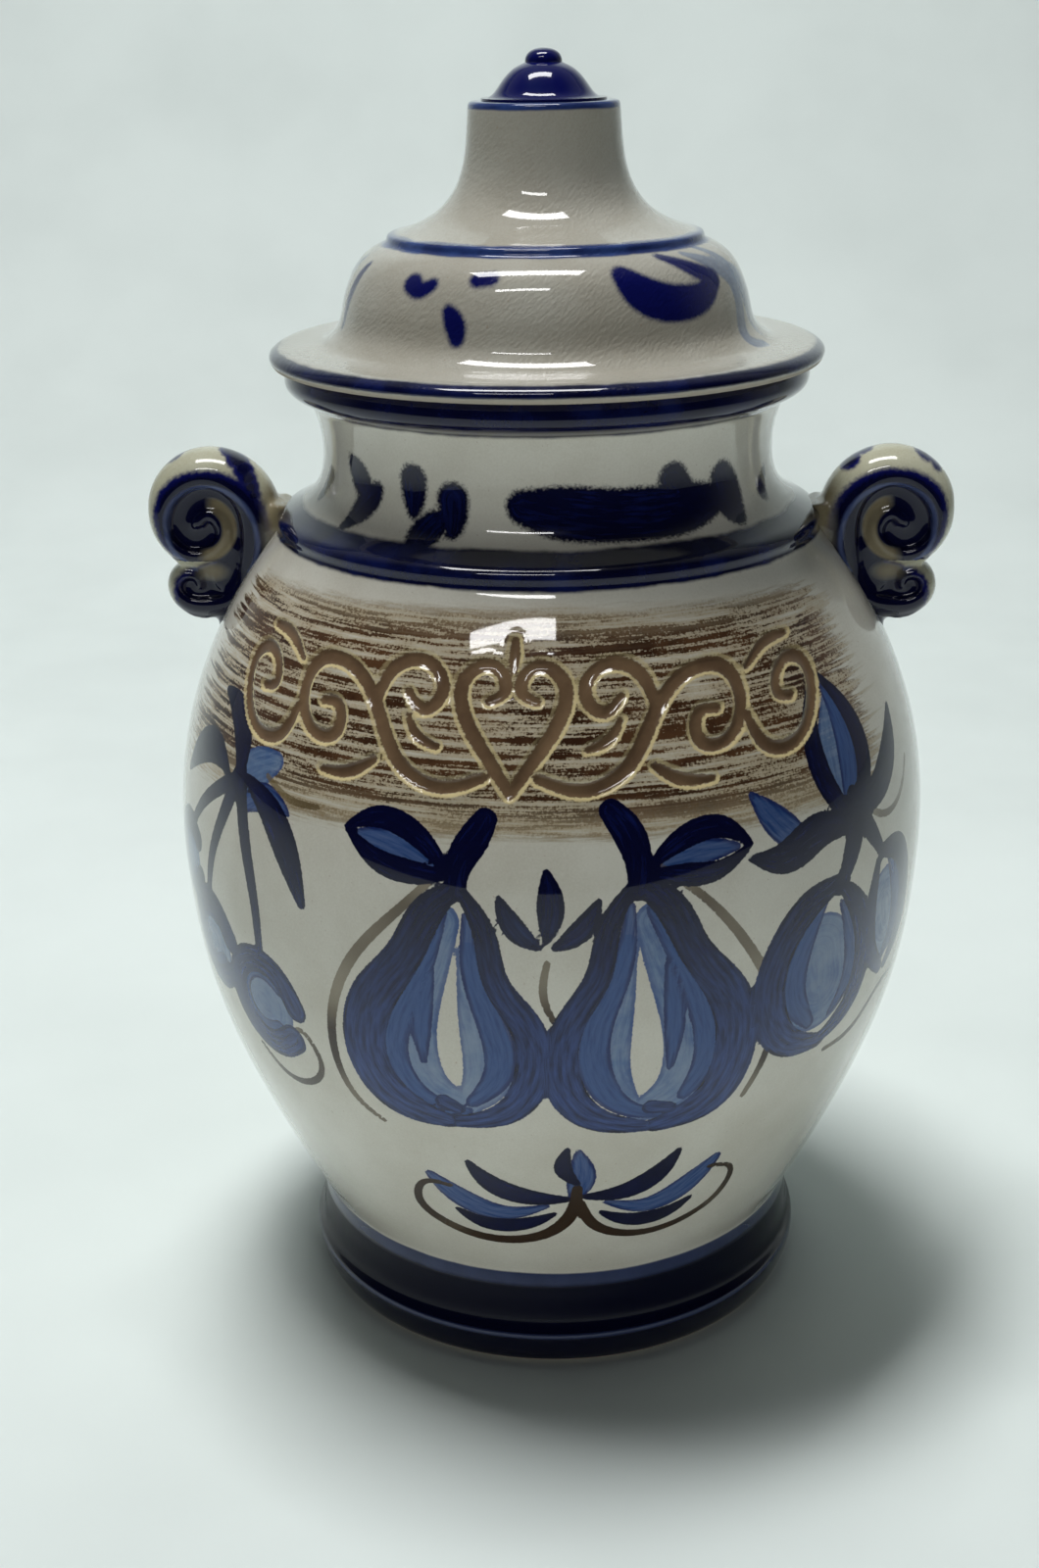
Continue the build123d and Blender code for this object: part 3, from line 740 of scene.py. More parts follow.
class Nodes:
    """The nodes of one tree."""

    def __init__(self, tree):
        self.tree = tree

    def add(self, kind, settings, values, output=0):
        made = self.tree.nodes.new(kind)
        for key, value in settings.items():
            setattr(made, key, value)
        for key, value in values.items():
            self.fill(made.inputs[key], value)
        return Signal(self, made.outputs[output])

    def fill(self, socket, value):
        if isinstance(value, Signal):
            self.tree.links.new(value.socket, socket)
        else:
            socket.default_value = value

    def parts(self, vector):
        split = self.add("ShaderNodeSeparateXYZ", {}, {0: vector}).socket.node
        return [Signal(self, socket) for socket in split.outputs]

    def vector(self, x, y, z):
        return self.add("ShaderNodeCombineXYZ", {}, {0: x, 1: y, 2: z})

    def noise(self, vector, scale, detail=3.0, roughness=0.55):
        values = {"Vector": vector, "Scale": scale, "Detail": detail, "Roughness": roughness}
        return self.add("ShaderNodeTexNoise", {}, values, "Fac")

    def mix(self, share, below, above):
        return self.add("ShaderNodeMix", {"data_type": "RGBA"}, {0: share, 6: below, 7: above}, 2)

    def bump(self, height, strength, distance):
        values = {"Height": height, "Strength": strength, "Distance": distance}
        return self.add("ShaderNodeBump", {}, values, "Normal")


class Recipe(Nodes):
    """A material: one Principled shader and the nodes that vary it over the surface."""

    def __init__(self, name, **constants):
        self.material = bpy.data.materials.new(name)
        self.material.use_nodes = True
        super().__init__(self.material.node_tree)
        self.shader = self.tree.nodes["Principled BSDF"]
        for key, value in constants.items():
            self.shader.inputs[key.replace("_", " ")].default_value = value
        self.place = self.add("ShaderNodeTexCoord", {}, {}, "Object")

    def layer(self, name):
        """The separate values that a painted layer keeps on the mesh."""
        return self.parts(self.add("ShaderNodeAttribute", {"attribute_name": name}, {}, "Vector"))

    def height(self):
        """Height above the table in millimetres."""
        return self.parts(self.place)[2] * (1 / MM)

    def finish(self, colour, roughness=None, normal=None):
        self.fill(self.shader.inputs["Base Color"], colour)
        if roughness is not None:
            self.fill(self.shader.inputs["Roughness"], roughness)
        if normal is not None:
            self.fill(self.shader.inputs["Normal"], normal)
        return self.material


def linear(level):
    """The light of a colour level from 0 to 255."""
    level /= 255
    return level / 12.92 if level <= 0.04045 else ((level + 0.055) / 1.055) ** 2.4


def srgb(red, green, blue):
    return (linear(red), linear(green), linear(blue), 1.0)


# Glaze colours
CREAM = srgb(206, 204, 192)
CREAM_DEEP = srgb(190, 186, 172)
LID_CREAM = srgb(172, 170, 159)
LID_CREAM_DEEP = srgb(158, 154, 141)
HANDLE_CREAM = srgb(184, 184, 164)
HANDLE_CREAM_DEEP = srgb(164, 162, 138)
NAVY = srgb(6, 8, 40)
NAVY_THIN = srgb(18, 28, 80)
LINE_BLUE = srgb(30, 42, 88)
STROKE_BLUE = srgb(48, 70, 124)
MIDDLE_BLUE = srgb(50, 78, 128)
BRIGHT_NAVY = srgb(12, 16, 78)
DEEP_BLUE = srgb(26, 40, 88)
WASH_BLUE = srgb(100, 126, 158)
RIDGE_BLUE = srgb(64, 76, 114)
FOOT_NAVY = srgb(4, 6, 28)
SLIP_DARK = srgb(52, 32, 20)
SLIP = srgb(84, 58, 38)
SLIP_THIN = srgb(152, 130, 88)
SPECK_BROWN = srgb(140, 112, 80)
LINE_BROWN = srgb(50, 34, 20)
LINE_OLIVE = srgb(104, 88, 56)
GROOVE_BROWN = srgb(116, 94, 70)
GROOVE_DARK = srgb(92, 72, 54)
# Pale colour of the burr, partly a painted highlight
BURR_AND_HIGHLIGHT = srgb(208, 192, 144)
BARE_CLAY = srgb(168, 160, 146)

# Every glaze is a dull coloured body under a clear coat.
GLOSS = dict(Roughness=0.45, Specular_IOR_Level=0.05, Coat_Weight=1.0, Coat_Roughness=0.03, Coat_IOR=1.45)

# The brushed band as turns in radians and as heights, and the heights between which the paint changes
BAND_ENDS = (-1.22, 1.03)
BAND_SIDES = (178.5, 229.5)
BAND_CORE = (184.0, 226.0)
BARE_RING = (0.7, 1.6)
SPRIG_TOP = (84.0, 92.0)
# Navy strokes turn paler downwards between these heights: partly a brush running dry, partly a painted
# reflection of the pale floor.
DRY_BRUSH_AND_SHEEN = (108.0, 168.0)
FULL_BRUSH = (236.0, 240.0)


def clay_colour(recipe, light=CREAM, dark=CREAM_DEEP):
    """Cream glaze with faint clouds, a fine grain and a few iron specks."""
    clouds = recipe.noise(recipe.place, 34.0, 4.0)
    grain = recipe.noise(recipe.place, 1700.0, 2.0)
    specks = recipe.noise(recipe.place, 900.0, 2.0).rise(0.70, 0.78) * 0.4
    cream = recipe.mix((clouds * 0.7 + grain * 0.3).rise(0.3, 0.72), light, dark)
    return recipe.mix(specks, cream, SPECK_BROWN)


def brushed(recipe, name, edge, soft=0.13):
    """A painted layer: its ragged mask, its brush streaks and the pooled rim of its strokes."""
    depth, across, along = recipe.layer(name)
    mask = (depth + (edge - 0.5) * (soft * 2.4 + 0.4)).rise(soft * -1, soft)
    streak = recipe.noise(recipe.vector(across * 0.9, along * 0.10, 0.0), 1.0, 3.0, 0.6)
    return mask, streak, 1 - depth.rise(0.1, 1.5)


def glaze_bump(recipe):
    """Orange peel of the glaze, drawn out along a slant."""
    x, y, z = recipe.parts(recipe.place)
    slanted = recipe.vector((x + z) * 0.8, y, (z - x) * 1.7)
    return recipe.noise(slanted, 520.0, 2.0, 0.5)


def drag_slip(recipe, colour, turn, height, wash):
    """Brown slip dragged round the shoulder with a dry brush."""
    long_streaks = recipe.noise(recipe.vector(turn * 1.5, height * 0.62, 3.0), 1.0, 2.0, 0.6)
    short_streaks = recipe.noise(recipe.vector(turn * 8.0, height * 1.1, 7.0), 1.0, 3.0, 0.7)
    grit = recipe.noise(recipe.place, 1500.0, 2.0)
    ragged = (short_streaks - 0.5) * 0.34 + (long_streaks - 0.5) * 0.5
    ends = (turn + ragged).band(*BAND_ENDS, 0.06)
    sides = (height + (short_streaks - 0.5) * 6.0 + abs(turn) * 3.0).band(*BAND_SIDES, 2.0)
    place = ends * sides
    thin = (long_streaks * 0.6 + short_streaks * 0.4).rise(0.24, 0.54)
    colour = recipe.mix(place * thin * (0.42 + grit * 0.6).least(0.85), colour, SLIP_THIN)
    drag = long_streaks * 0.62 + short_streaks * 0.38 + (grit - 0.5) * 0.26
    edge_fade = (height + (long_streaks - 0.5) * 10.0).band(*BAND_CORE, 5.0)
    dark = place * drag.rise(0.465, 0.535) * (0.3 + edge_fade * 0.7)
    return recipe.mix(dark, colour, recipe.mix(wash.rise(0.35, 0.65), SLIP_DARK, SLIP))


def paint_fruit(recipe, colour, height, edge, wash):
    """Washes, half tones and fine lines, and then the navy strokes over them."""
    mask, streak, pool = brushed(recipe, "wash", edge)
    blue = recipe.mix((streak * 0.6 + wash * 0.5 + pool * 0.3).rise(0.35, 0.85), WASH_BLUE, MIDDLE_BLUE)
    colour = recipe.mix(mask * (0.66 + wash * 0.5).least(1.0), colour, blue)

    mask, streak, pool = brushed(recipe, "middle", edge)
    blue = recipe.mix((streak * 0.8 + pool * 0.35).rise(0.3, 0.8), MIDDLE_BLUE, DEEP_BLUE)
    colour = recipe.mix(mask * (0.82 + streak * 0.3).least(1.0), colour, blue)

    depth, _, along = recipe.layer("lines")
    mask = (depth + (edge - 0.5) * 0.5).rise(-0.1, 0.14)
    ink = recipe.noise(recipe.vector(along * 0.025, 0.0, 5.0), 1.0, 1.0) + height * 0.002
    ink = ink.rise(0.62, 0.9)
    colour = recipe.mix(mask * (1 - ink * 0.3), colour, recipe.mix(ink, LINE_BROWN, LINE_OLIVE))

    mask, streak, pool = brushed(recipe, "navy", edge, height.rise(*FULL_BRUSH) * 0.75 + 0.13)
    # Navy strokes paler lower on the belly: partly a brush running dry, partly a painted reflection of the
    # pale floor.
    dry_brush_and_sheen = (1 - (height + (wash - 0.5) * 50.0).rise(*DRY_BRUSH_AND_SHEEN)) * height.rise(*SPRIG_TOP)
    thin = (streak.rise(0.25, 0.75) * 0.95 + wash * 0.3 - pool * 0.35).least(1.0)
    blue = recipe.mix((streak * 0.7 + wash * 0.45 - pool * 0.25).rise(0.5, 0.85), NAVY, NAVY_THIN)
    return recipe.mix(mask, colour, recipe.mix(dry_brush_and_sheen * thin, blue, STROKE_BLUE))


def colour_scroll(recipe, colour, edge, wash):
    """Pale burr, partly a painted highlight that is strongest on the lit side of each groove, and brown floor
    of the pressed ornament.
    """
    depth, light, _ = recipe.layer("groove")
    ragged = depth + (edge - 0.5) * 1.2
    # The burr's pale colour is partly a painted highlight, strongest on the lit side of each groove.
    burr_and_highlight = (light * 0.5 + wash * 0.7 + 0.35).most(0.12).least(0.95)
    colour = recipe.mix(ragged.band(-0.6, 0.3, 0.25) * burr_and_highlight, colour, BURR_AND_HIGHLIGHT)
    floor = recipe.mix(wash.rise(0.3, 0.7), GROOVE_BROWN, GROOVE_DARK)
    return recipe.mix((depth + (edge - 0.5) * 0.8).rise(0.2, 0.6), colour, floor)


def stripe_jar(recipe, colour, height, wash):
    """Navy rim and collar, and the near-black foot with a paler blue band at its waist and a painted
    highlight along its edge.
    """
    soft = (wash - 0.5) * 1.6
    rim = (height + soft).rise(RIM_FOOT - 0.9, RIM_FOOT + 0.4)
    collar = (height + soft).band(SHOULDER - 0.9, NECK_FOOT + 2.4, 0.5)
    colour = recipe.mix(rim.most(collar), colour, recipe.mix(wash.rise(0.4, 0.8), NAVY, NAVY_THIN))
    foot = 1 - (height + soft * 0.4).rise(BELLY_START - 0.5, BELLY_START + 0.3)
    waist = (height + soft * 0.5).rise(WAIST_HEIGHT + 0.2, WAIST_HEIGHT + 2.0) * (0.3 + wash * 0.5)
    # A thin paler line along the foot's rounded edge: a painted highlight.
    pale_line = height.band(FOOT_EDGE - 0.7, FOOT_EDGE + 0.5, 0.4) * 0.55
    return recipe.mix(foot, colour, recipe.mix(waist.most(pale_line), FOOT_NAVY, RIDGE_BLUE))


def jar_glaze():
    recipe = Recipe("salt glaze painted in cobalt", **GLOSS)
    x, y, _ = recipe.parts(recipe.place)
    height = recipe.height()
    edge = recipe.noise(recipe.place, 1300.0, 3.0)
    wash = recipe.noise(recipe.place, 70.0, 5.0, 0.6)
    colour = drag_slip(recipe, clay_colour(recipe), x.math("ARCTAN2", y * -1), height, wash)
    colour = paint_fruit(recipe, colour, height, edge, wash)
    colour = colour_scroll(recipe, colour, edge, wash)
    colour = stripe_jar(recipe, colour, height, wash)
    bare = 1 - height.rise(*BARE_RING)
    colour = recipe.mix(bare, colour, BARE_CLAY)
    cove = height.band(FOOT_EDGE + 0.6, WAIST_HEIGHT + 0.4, 0.6)
    recipe.fill(recipe.shader.inputs["Coat Weight"], (1 - bare) * (1 - cove * 0.7))
    rough = 0.24 + bare * 0.5
    return recipe.finish(colour, rough, recipe.bump(glaze_bump(recipe) + wash * 0.4, 0.10, 0.0004))


def lid_glaze():
    recipe = Recipe("lid glaze", **GLOSS)
    height = recipe.height()
    edge = recipe.noise(recipe.place, 1300.0, 3.0) * 0.4 + 0.3
    wash = recipe.noise(recipe.place, 70.0, 5.0, 0.6)
    colour = clay_colour(recipe, LID_CREAM, LID_CREAM_DEEP)
    mask, streak, _ = brushed(recipe, "wash", edge, 0.7)
    blue = recipe.mix(streak, WASH_BLUE, DEEP_BLUE)
    colour = recipe.mix(mask * (0.4 + wash * 0.7).least(1.0), colour, blue)
    mask, _, pool = brushed(recipe, "navy", edge, 0.9)
    blue = recipe.mix((wash * 0.8 + pool * 0.45).rise(0.45, 0.95), BRIGHT_NAVY, NAVY_THIN)
    colour = recipe.mix(mask, colour, blue)
    soft = (wash - 0.5) * 0.9
    flange = (height + soft).band(SEAT_HEIGHT + 1.4, SEAT_HEIGHT + 4.3, 0.3)
    colour = recipe.mix(flange, colour, recipe.mix(wash.rise(0.35, 0.8), NAVY, NAVY_THIN))
    ridge = (height + soft).band(RIDGE_FOOT - 0.5, CHIMNEY_FOOT + 0.1, 0.25)
    chimney = (height + soft).rise(CHIMNEY_TOP - 2.2, CHIMNEY_TOP - 1.5)
    blue = recipe.mix(wash.rise(0.3, 0.75), LINE_BLUE, STROKE_BLUE)
    colour = recipe.mix(ridge.most(chimney), colour, blue)
    under = 1 - height.rise(SEAT_HEIGHT + 0.6, SEAT_HEIGHT + 1.6)
    colour = recipe.mix(under, colour, BARE_CLAY)
    recipe.fill(recipe.shader.inputs["Coat Weight"], 1 - under)
    return recipe.finish(colour, 0.24 + under * 0.4, recipe.bump(glaze_bump(recipe) * 2 + wash, 0.30, 0.0004))


def cap_glaze():
    recipe = Recipe("navy glaze", **GLOSS)
    pooled = recipe.noise(recipe.place, 120.0, 3.0).rise(0.45, 0.85)
    colour = recipe.mix(pooled, BRIGHT_NAVY, NAVY_THIN)
    return recipe.finish(colour, 0.2, recipe.bump(glaze_bump(recipe), 0.05, 0.0003))


def handle_glaze():
    recipe = Recipe("handle glaze", **GLOSS)
    edge = recipe.noise(recipe.place, 700.0, 4.0, 0.7)
    wash = recipe.noise(recipe.place, 90.0, 5.0, 0.6)
    navy, brown, ridge = recipe.layer("dip")
    colour = clay_colour(recipe, HANDLE_CREAM, HANDLE_CREAM_DEEP)
    colour = recipe.mix((brown + (wash - 0.5) * 0.8).rise(0.2, 0.8) * 0.75, colour, LINE_OLIVE)
    depth = navy + (edge - 0.5) * 2.0
    blue = recipe.mix(depth.rise(0.2, 2.2), BRIGHT_NAVY, NAVY)
    # Paler along the ridge: partly thinner glaze, partly a painted highlight.
    blue = recipe.mix((wash * 0.6 + ridge * 0.8).rise(0.45, 1.0), blue, RIDGE_BLUE)
    colour = recipe.mix(depth.rise(-1.3, 0.5) * (1 - brown.rise(0.3, 1.0) * 0.9), colour, blue)
    return recipe.finish(colour, 0.22, recipe.bump(glaze_bump(recipe) + wash * 2, 0.08, 0.0004))


# Handles: a strap of clay rolled into a large scroll above and a small one below. The sizes are for
# the handle on the right; the left one is its mirror image.

BIG_EYE = (97.6, 232.6)
SMALL_EYE = (101.5, 215.2)
# The strap's middle line as (angle about the big eye, radius, half thickness, half width)
ROLL = (
    (20, 0.4, 1.6, 6.4), (0, 2.6, 2.4, 7.6), (90, 4.6, 2.8, 8.2), (180, 6.8, 3.3, 8.6), (270, 8.9, 3.0, 9.0),
    (318, 11.0, 3.0, 9.4), (360, 13.0, 3.3, 9.8), (405, 15.2, 4.4, 10.0), (450, 17.1, 4.9, 10.0),
    (495, 17.2, 5.2, 10.0), (540, 16.5, 5.3, 10.0),
)
# Its run down the spine and into the small eye as (x, z, half thickness, half width)
TAIL = (
    (81.9, 224.5, 5.2, 9.8), (84.2, 216.5, 4.8, 9.4), (89.6, 210.2, 4.3, 9.0), (97.2, 208.6, 3.7, 8.8),
    (103.8, 209.6, 3.3, 8.6), (107.5, 213.6, 2.8, 8.4), (106.6, 218.4, 2.4, 8.2), (102.6, 219.9, 2.0, 8.0),
    (99.4, 217.8, 1.7, 7.8), (99.6, 214.9, 1.5, 7.4), (102.0, 214.4, 1.3, 6.5),
)
# The fat root that is pressed on to the shoulder
ROOT = (
    (75.6, 239.4, 2.6, 8.4), (76.6, 235.5, 5.4, 9.0), (79.8, 227.0, 7.0, 8.8), (85.0, 215.5, 6.2, 8.2),
    (91.5, 206.0, 4.4, 7.4), (94.6, 200.5, 1.8, 6.0),
)
# Webs of clay between the turns as (x, z, radius, half width)
WEBS = ((97.0, 232.2, 13.6, 6.4), (99.5, 214.2, 8.5, 6.2), (88.0, 220.0, 8.0, 7.2))
WEB_SIDES = 48
# The strap's section is an oval, a little squarer than an ellipse, whose power would be 1.
STRAP_POWER = 0.8
STRAP_LEAN = 0.5
STRAP_STEP = 0.8
STRAP_SIDES = 36
CLAY_GRAIN = 0.6
SMOOTHINGS = 12
SINK = 3.5
HALF_WIDTH = 9.95
REACH_MARGIN = 0.05
CREST_RISE = 1.5


def tube_faces(rings, count):
    """The faces between the rings of a tube, and a cap at each end."""
    last = (rings - 1) * count
    faces = []
    for ring in range(0, last, count):
        for i in range(count):
            beside = (i + 1) % count
            faces.append((ring + i, ring + beside, ring + count + beside, ring + count + i))
    return [*faces, tuple(reversed(range(count))), tuple(range(last, last + count))]


def sweep(name, line, lean=0.0):
    """An oval strap swept along (x, z, half thickness, half width), its edges leaning inwards."""
    samples = flowing(line, step=STRAP_STEP)
    run = np.gradient(samples[:, :2], axis=0)
    run /= np.hypot(run[:, 0], run[:, 1])[:, None]
    normal = np.c_[-run[:, 1], run[:, 0]]
    turns = np.linspace(0, math.tau, STRAP_SIDES, endpoint=False)
    out = np.sign(np.cos(turns)) * np.abs(np.cos(turns)) ** STRAP_POWER
    side = np.sign(np.sin(turns)) * np.abs(np.sin(turns)) ** STRAP_POWER
    out = out + lean * side ** 2
    points = []
    for (x, z, thick, wide), (nx, nz) in zip(samples, normal):
        points += [(x + nx * thick * o, wide * s, z + nz * thick * o) for o, s in zip(out, side)]
    return new_mesh(name, points, faces=tube_faces(len(samples), STRAP_SIDES))


def web(x, z, radius, half_width):
    bpy.ops.mesh.primitive_cylinder_add(
        vertices=WEB_SIDES, radius=radius * MM, depth=2 * half_width * MM, location=(x * MM, 0, z * MM),
        rotation=(math.pi / 2, 0, 0),
    )
    disc = bpy.context.active_object
    bpy.ops.object.transform_apply(location=True, rotation=True, scale=True)
    return disc


# Dip edges: how far the navy reaches from each eye, by angle about it, and where the small scroll starts
BIG_DIP = (
    (0, 13.2), (45, 15.9), (90, 16.8), (135, 18.2), (180, 19.4), (215, 30), (290, 30), (320, 12), (360, 13.2),
)
SMALL_DIP = (
    (0, 5.6), (60, 5.4), (100, 5.8), (125, 9), (150, 16), (180, 20), (250, 20), (300, 9.5), (330, 6.4),
    (360, 5.6),
)
SMALL_START = (94, 223.4)
# The paler line along the ridge of the big scroll, partly thinner glaze and partly a painted highlight, as
# its radius by angle about the eye
PALE_RIDGE = ((0, 10.2), (90, 12.2), (180, 15.4), (230, 18.0), (300, 11.0), (360, 10.2))
PALE_RIDGE_WIDTH = 1.5
# The dip shows only on the faces of a handle, which start this far from its middle plane.
FACE_START = 4.5
# Brown slip: the crescent in the big scroll, the throat between the scrolls, and the root
CRESCENT_REACH = (4.6, 10.4, 1.6)
CRESCENT_ANGLES = (80, 300, 40)
THROAT = (96, 220)
THROAT_SPREAD = (6, 3.5)
ROOT_EDGE = (84, 250)
ROOT_FADE = (6, 8)
# Dabs on the crest of each handle as (x, y, z, radius)
RIGHT_DABS = (
    (84.5, -2, 250.4, 3.0), (88.5, 1, 252.8, 2.6), (104.5, -1, 251.0, 3.0), (107.5, -3, 248.6, 2.0),
    (96, 7, 250, 4),
)
LEFT_DABS = (
    (89.4, 0, 253.6, 3.4), (87.2, -3.4, 251.8, 3.4), (85.4, -5.8, 249.4, 3.0), (84.2, -7.0, 247.0, 2.6),
    (83.4, -7.8, 244.6, 2.4), (82.8, -8.4, 242.4, 2.2), (105.0, 0, 251.2, 2.6), (108.2, 1, 248.2, 2.0),
    (94, 7, 251, 4),
)


def polar(x, z, eye):
    angle = np.degrees(np.arctan2(z - eye[1], x - eye[0])) % 360
    return np.hypot(x - eye[0], z - eye[1]), angle


def window(values, low, high, soft):
    return np.clip((values - low) / soft, 0, 1) * np.clip((high - values) / soft, 0, 1)


def handle_dip(places, dabs):
    """Where the handle was dipped: navy depth in mm, brown share and share of the paler ridge line, which is
    partly thinner glaze and partly a painted highlight.
    """
    x, y, z = places.T
    facing = np.abs(y) - FACE_START
    reach, angle = polar(x, z, BIG_EYE)
    big = np.interp(angle, *np.array(BIG_DIP).T) - reach
    small_reach, small_angle = polar(x, z, SMALL_EYE)
    small = np.interp(small_angle, *np.array(SMALL_DIP).T) - small_reach
    navy = np.where((x > SMALL_START[0]) & (z < SMALL_START[1]), small, big)
    navy = np.minimum(navy, facing * 1.5)
    crescent = window(reach, *CRESCENT_REACH) * window(angle, *CRESCENT_ANGLES) * (facing > 0)
    for dab_x, dab_y, dab_z, radius in dabs:
        dab = radius - np.sqrt((x - dab_x) ** 2 + 0.5 * (y - dab_y) ** 2 + (z - dab_z) ** 2)
        navy = np.maximum(navy, dab * 1.2)
    root = np.clip((ROOT_EDGE[0] - x) / ROOT_FADE[0], 0, 1) * np.clip((ROOT_EDGE[1] - z) / ROOT_FADE[1], 0, 1)
    away = ((x - THROAT[0]) / THROAT_SPREAD[0]) ** 2 + ((z - THROAT[1]) / THROAT_SPREAD[1]) ** 2
    throat = 0.9 * np.exp(-away)
    brown = np.maximum(np.maximum(crescent, throat), root * 0.8)
    # The paler ridge line is partly thinner glaze and partly a painted highlight.
    pale_line = np.interp(angle, *np.array(PALE_RIDGE).T)
    ridge = np.clip(1 - np.abs(reach - pale_line) / PALE_RIDGE_WIDTH, 0, 1) * (facing > 2) * (z > THROAT[1])
    return np.c_[navy, brown, ridge]


def model_handle(name):
    """Fuse the strap, its root and its webs into one piece of clay, in the right handle's place."""
    roll = [
        (BIG_EYE[0] + r * math.cos(math.radians(t)), BIG_EYE[1] + r * math.sin(math.radians(t)), thick, wide)
        for t, r, thick, wide in ROLL
    ]
    parts = [sweep("strap", [*roll, *TAIL], STRAP_LEAN), sweep("root", ROOT), *[web(*size) for size in WEBS]]
    pick(parts[0])
    for part in parts:
        part.select_set(True)
    bpy.ops.object.join()
    handle = bpy.context.active_object
    handle.name = name
    remesh = handle.modifiers.new("one clay", "REMESH")
    remesh.mode = "VOXEL"
    remesh.voxel_size = CLAY_GRAIN * MM
    soften = handle.modifiers.new("melted glaze", "SMOOTH")
    soften.factor = 0.5
    soften.iterations = SMOOTHINGS
    apply_modifiers(handle)
    return handle


def press_on(places):
    """Push the points out of the jar's hollow and keep them inside the handle's width, reach and crest."""
    radius = np.hypot(places[:, 0], places[:, 1])
    skin = np.interp(places[:, 2], *np.array(belly_points() + neck_points())[:, ::-1].T) - SINK
    places[:, :2] *= np.maximum(skin / radius, 1)[:, None]
    places[:, 1] = np.clip(places[:, 1], -HALF_WIDTH, HALF_WIDTH)
    places[:, 0] = np.minimum(places[:, 0], HANDLE_REACH - REACH_MARGIN)
    places[:, 2] = np.minimum(places[:, 2], HANDLE_TOP + CREST_RISE)
    return places


def add_handle(name, node, way, dabs, glaze):
    """Add one handle; way is 1 for the right one and -1 for the left one."""
    handle = model_handle(name)
    places = press_on(points_of(handle))
    keep_layer(handle, "dip", handle_dip(places, dabs))
    places[:, 0] *= way
    move_points(handle, places)
    face_outwards(handle)
    handle.data.materials.clear()
    handle.data.materials.append(glaze)
    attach(handle, "pot")
    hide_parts(node)


# Stage, camera and light

CAMERA_PLACE = (22.11, -575.58, 371.5)
CAMERA_TILT = math.radians(69.212)
CAMERA_ROLL = math.radians(0.835)
CAMERA_TURN = math.radians(2.807)
CAMERA_LENS = 47.36
CAMERA_SENSOR = 36.0
CLOTH = srgb(226, 235, 232)
CLOTH_FOLDS = srgb(218, 227, 224)
ROOM_PALE = srgb(222, 228, 230)
ROOM_DARK = srgb(44, 48, 58)
ROOM_TURN = (-0.2, 0.55)
ROOM_STRENGTH = 0.32

# The cloth from the side as (y, z)
CLOTH_LINE = ((-1100, 0), (700, 0), (1000, 60), (1250, 280), (1400, 700), (1450, 2200))
CLOTH_STEP = 40
CLOTH_HALF = 2500

# Lamps as (name, place, target, size, power, mirrored in the glaze), in metres and watts
LAMPS = (
    ("skylight", (-0.22, 0.0, 2.2), (-0.22, 0, 0.3), (1.25, 0.42), 30, True),
    ("window over the front", (-0.33, -1.15, 1.78), (-0.33, -0.1, 0.22), (0.88, 0.12), 7, True),
    ("sky", (-0.25, 0.17, 2.2), (0, 0, 0.1), (0.9, 0.5), 43, False),
    ("soft fill", (-0.2, -2.3, 0.14), (0, 0, 0.12), (1.8, 0.25), 12, False),
)


def add_camera():
    camera = bpy.data.objects.new("camera", bpy.data.cameras.new("camera"))
    bpy.context.scene.collection.objects.link(camera)
    aim = Euler((CAMERA_TILT, CAMERA_ROLL, CAMERA_TURN)).to_matrix().to_4x4()
    camera.matrix_world = Matrix.Translation(Vector(CAMERA_PLACE) * MM) @ aim
    camera.data.lens = CAMERA_LENS
    camera.data.sensor_width = CAMERA_SENSOR
    camera.data.clip_start = 0.01
    bpy.context.scene.camera = camera


def add_lamp(name, place, target, size, power, mirrored_in_glaze):
    """An area lamp that either lights the scene or is only mirrored in the glaze, as a window is."""
    lamp = bpy.data.lights.new(name, "AREA")
    lamp.shape = "RECTANGLE"
    lamp.size, lamp.size_y = size
    lamp.energy = power
    piece = bpy.data.objects.new(name, lamp)
    bpy.context.scene.collection.objects.link(piece)
    piece.location = place
    piece.rotation_euler = (Vector(target) - Vector(place)).to_track_quat("-Z", "Y").to_euler()
    piece.visible_glossy = mirrored_in_glaze
    piece.visible_diffuse = not mirrored_in_glaze


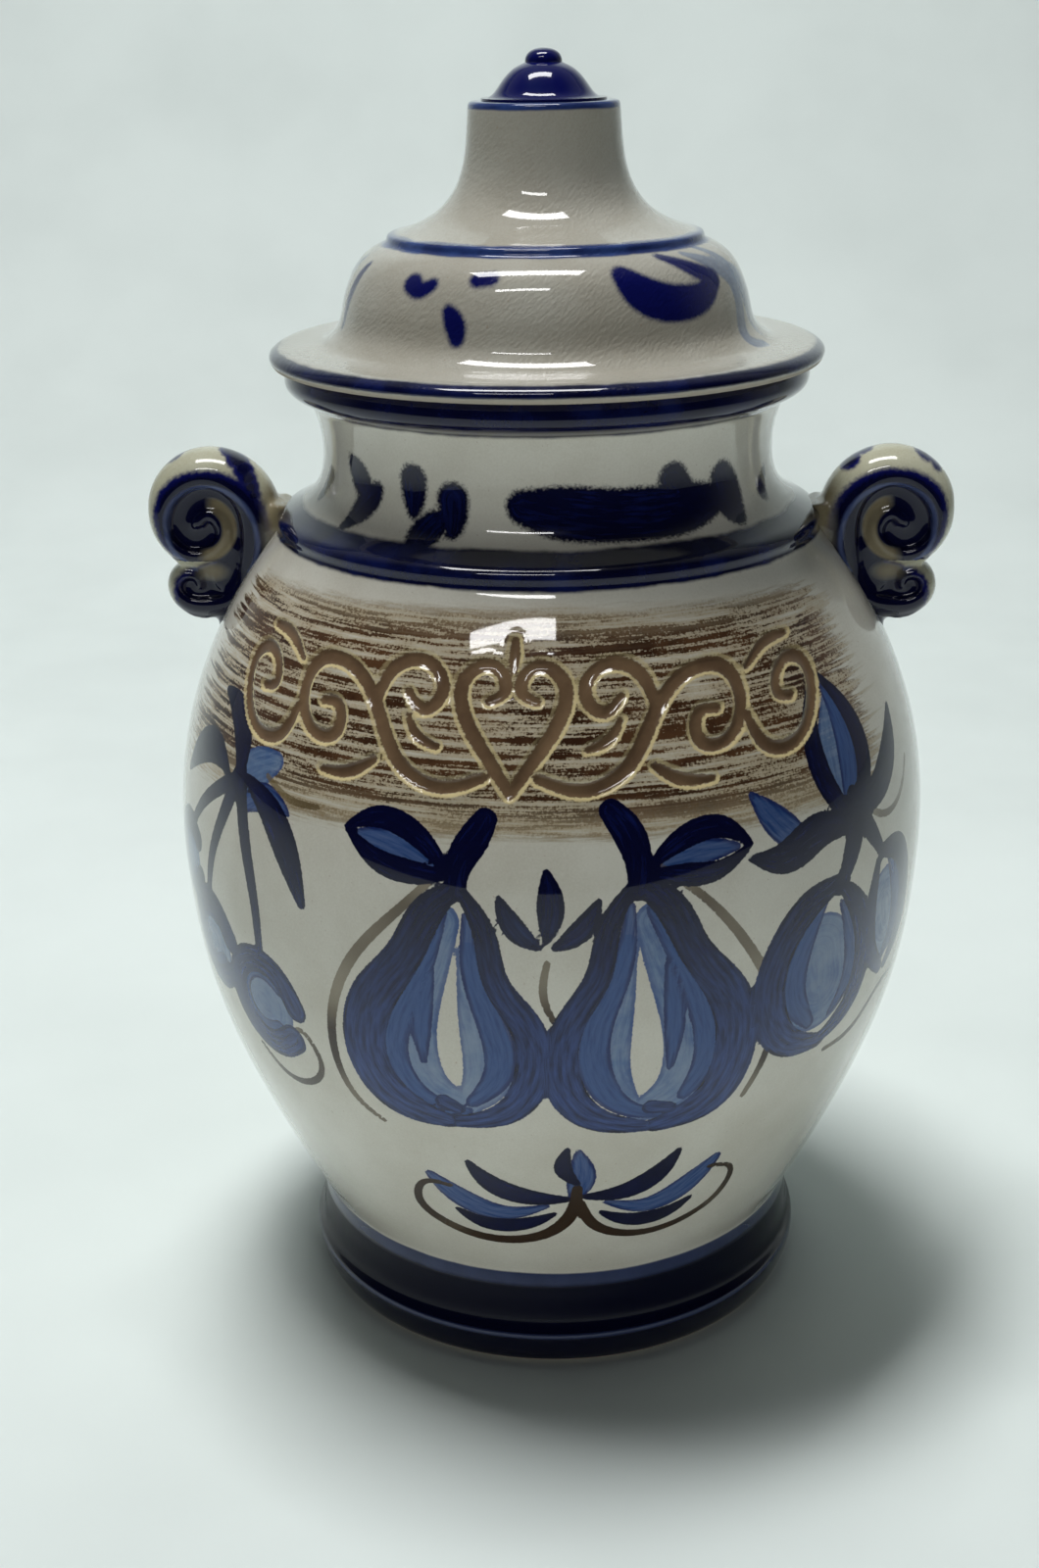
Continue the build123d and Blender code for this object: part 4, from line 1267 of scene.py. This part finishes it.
def add_stage():
    """A pale cloth that turns up into a backdrop behind the pot."""
    recipe = Recipe("pale cloth", Roughness=0.9)
    folds = recipe.noise(recipe.place, 6.0, 3.0)
    colour = recipe.mix(folds.rise(0.3, 0.8), CLOTH, CLOTH_FOLDS)
    material = recipe.finish(colour, normal=recipe.bump(folds, 0.05, 0.02))
    line = flowing(CLOTH_LINE, step=CLOTH_STEP)
    points = [(side * CLOTH_HALF, y, max(z, 0)) for y, z in line for side in (-1, 1)]
    faces = [(2 * i, 2 * i + 1, 2 * i + 3, 2 * i + 2) for i in range(len(line) - 1)]
    floor = new_mesh("floor", points, faces=faces)
    for face in floor.data.polygons:
        face.use_smooth = True
    floor.data.materials.append(material)


def add_light():
    for lamp in LAMPS:
        add_lamp(*lamp)
    bpy.context.scene.world = room_world()
    bpy.context.scene.view_settings.view_transform = "Standard"


def room_world():
    """A pale room that is darker on the side of the camera."""
    world = bpy.data.worlds.new("studio")
    world.use_nodes = True
    room = Nodes(world.node_tree)
    _, y, _ = room.parts(room.add("ShaderNodeTexCoord", {}, {}, "Generated"))
    background = room.tree.nodes["Background"].inputs
    room.fill(background["Color"], room.mix(y.rise(*ROOM_TURN), ROOM_DARK, ROOM_PALE))
    background["Strength"].default_value = ROOM_STRENGTH
    return world


# The pot

def add_jar():
    outline = jar_outline()
    jar = throw("painted_jar", outline)
    skin = Skin(jar, outline, 0.0, SEAT_HEIGHT)
    layers = jar_layers(skin)
    for name, values in layers.items():
        keep_layer(jar, name, values)
    carve(jar, skin, layers["groove"])
    jar.data.materials.append(jar_glaze())
    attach(jar, "pot")
    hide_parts("jar_body")


def add_lid():
    outline = lid_outline()
    lid = throw("painted_lid", outline)
    skin = Skin(lid, outline, SEAT_HEIGHT, CHIMNEY_TOP)
    keep_layer(lid, "navy", skin.paint(skin.marks(LID_DABS))[:, :3])
    keep_layer(lid, "wash", skin.paint(skin.marks(LID_WASH))[:, :3])
    lid.data.materials.append(lid_glaze())
    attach(lid, "lid")
    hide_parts("lid")


def finish_cap():
    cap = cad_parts["lid_cap"]
    cap.data.materials.clear()
    cap.data.materials.append(cap_glaze())


add_jar()
add_lid()
finish_cap()
glaze = handle_glaze()
add_handle("handle_right_scroll", "handle_right", 1, RIGHT_DABS, glaze)
add_handle("handle_left_scroll", "handle_left", -1, LEFT_DABS, glaze)
add_stage()
add_light()
add_camera()
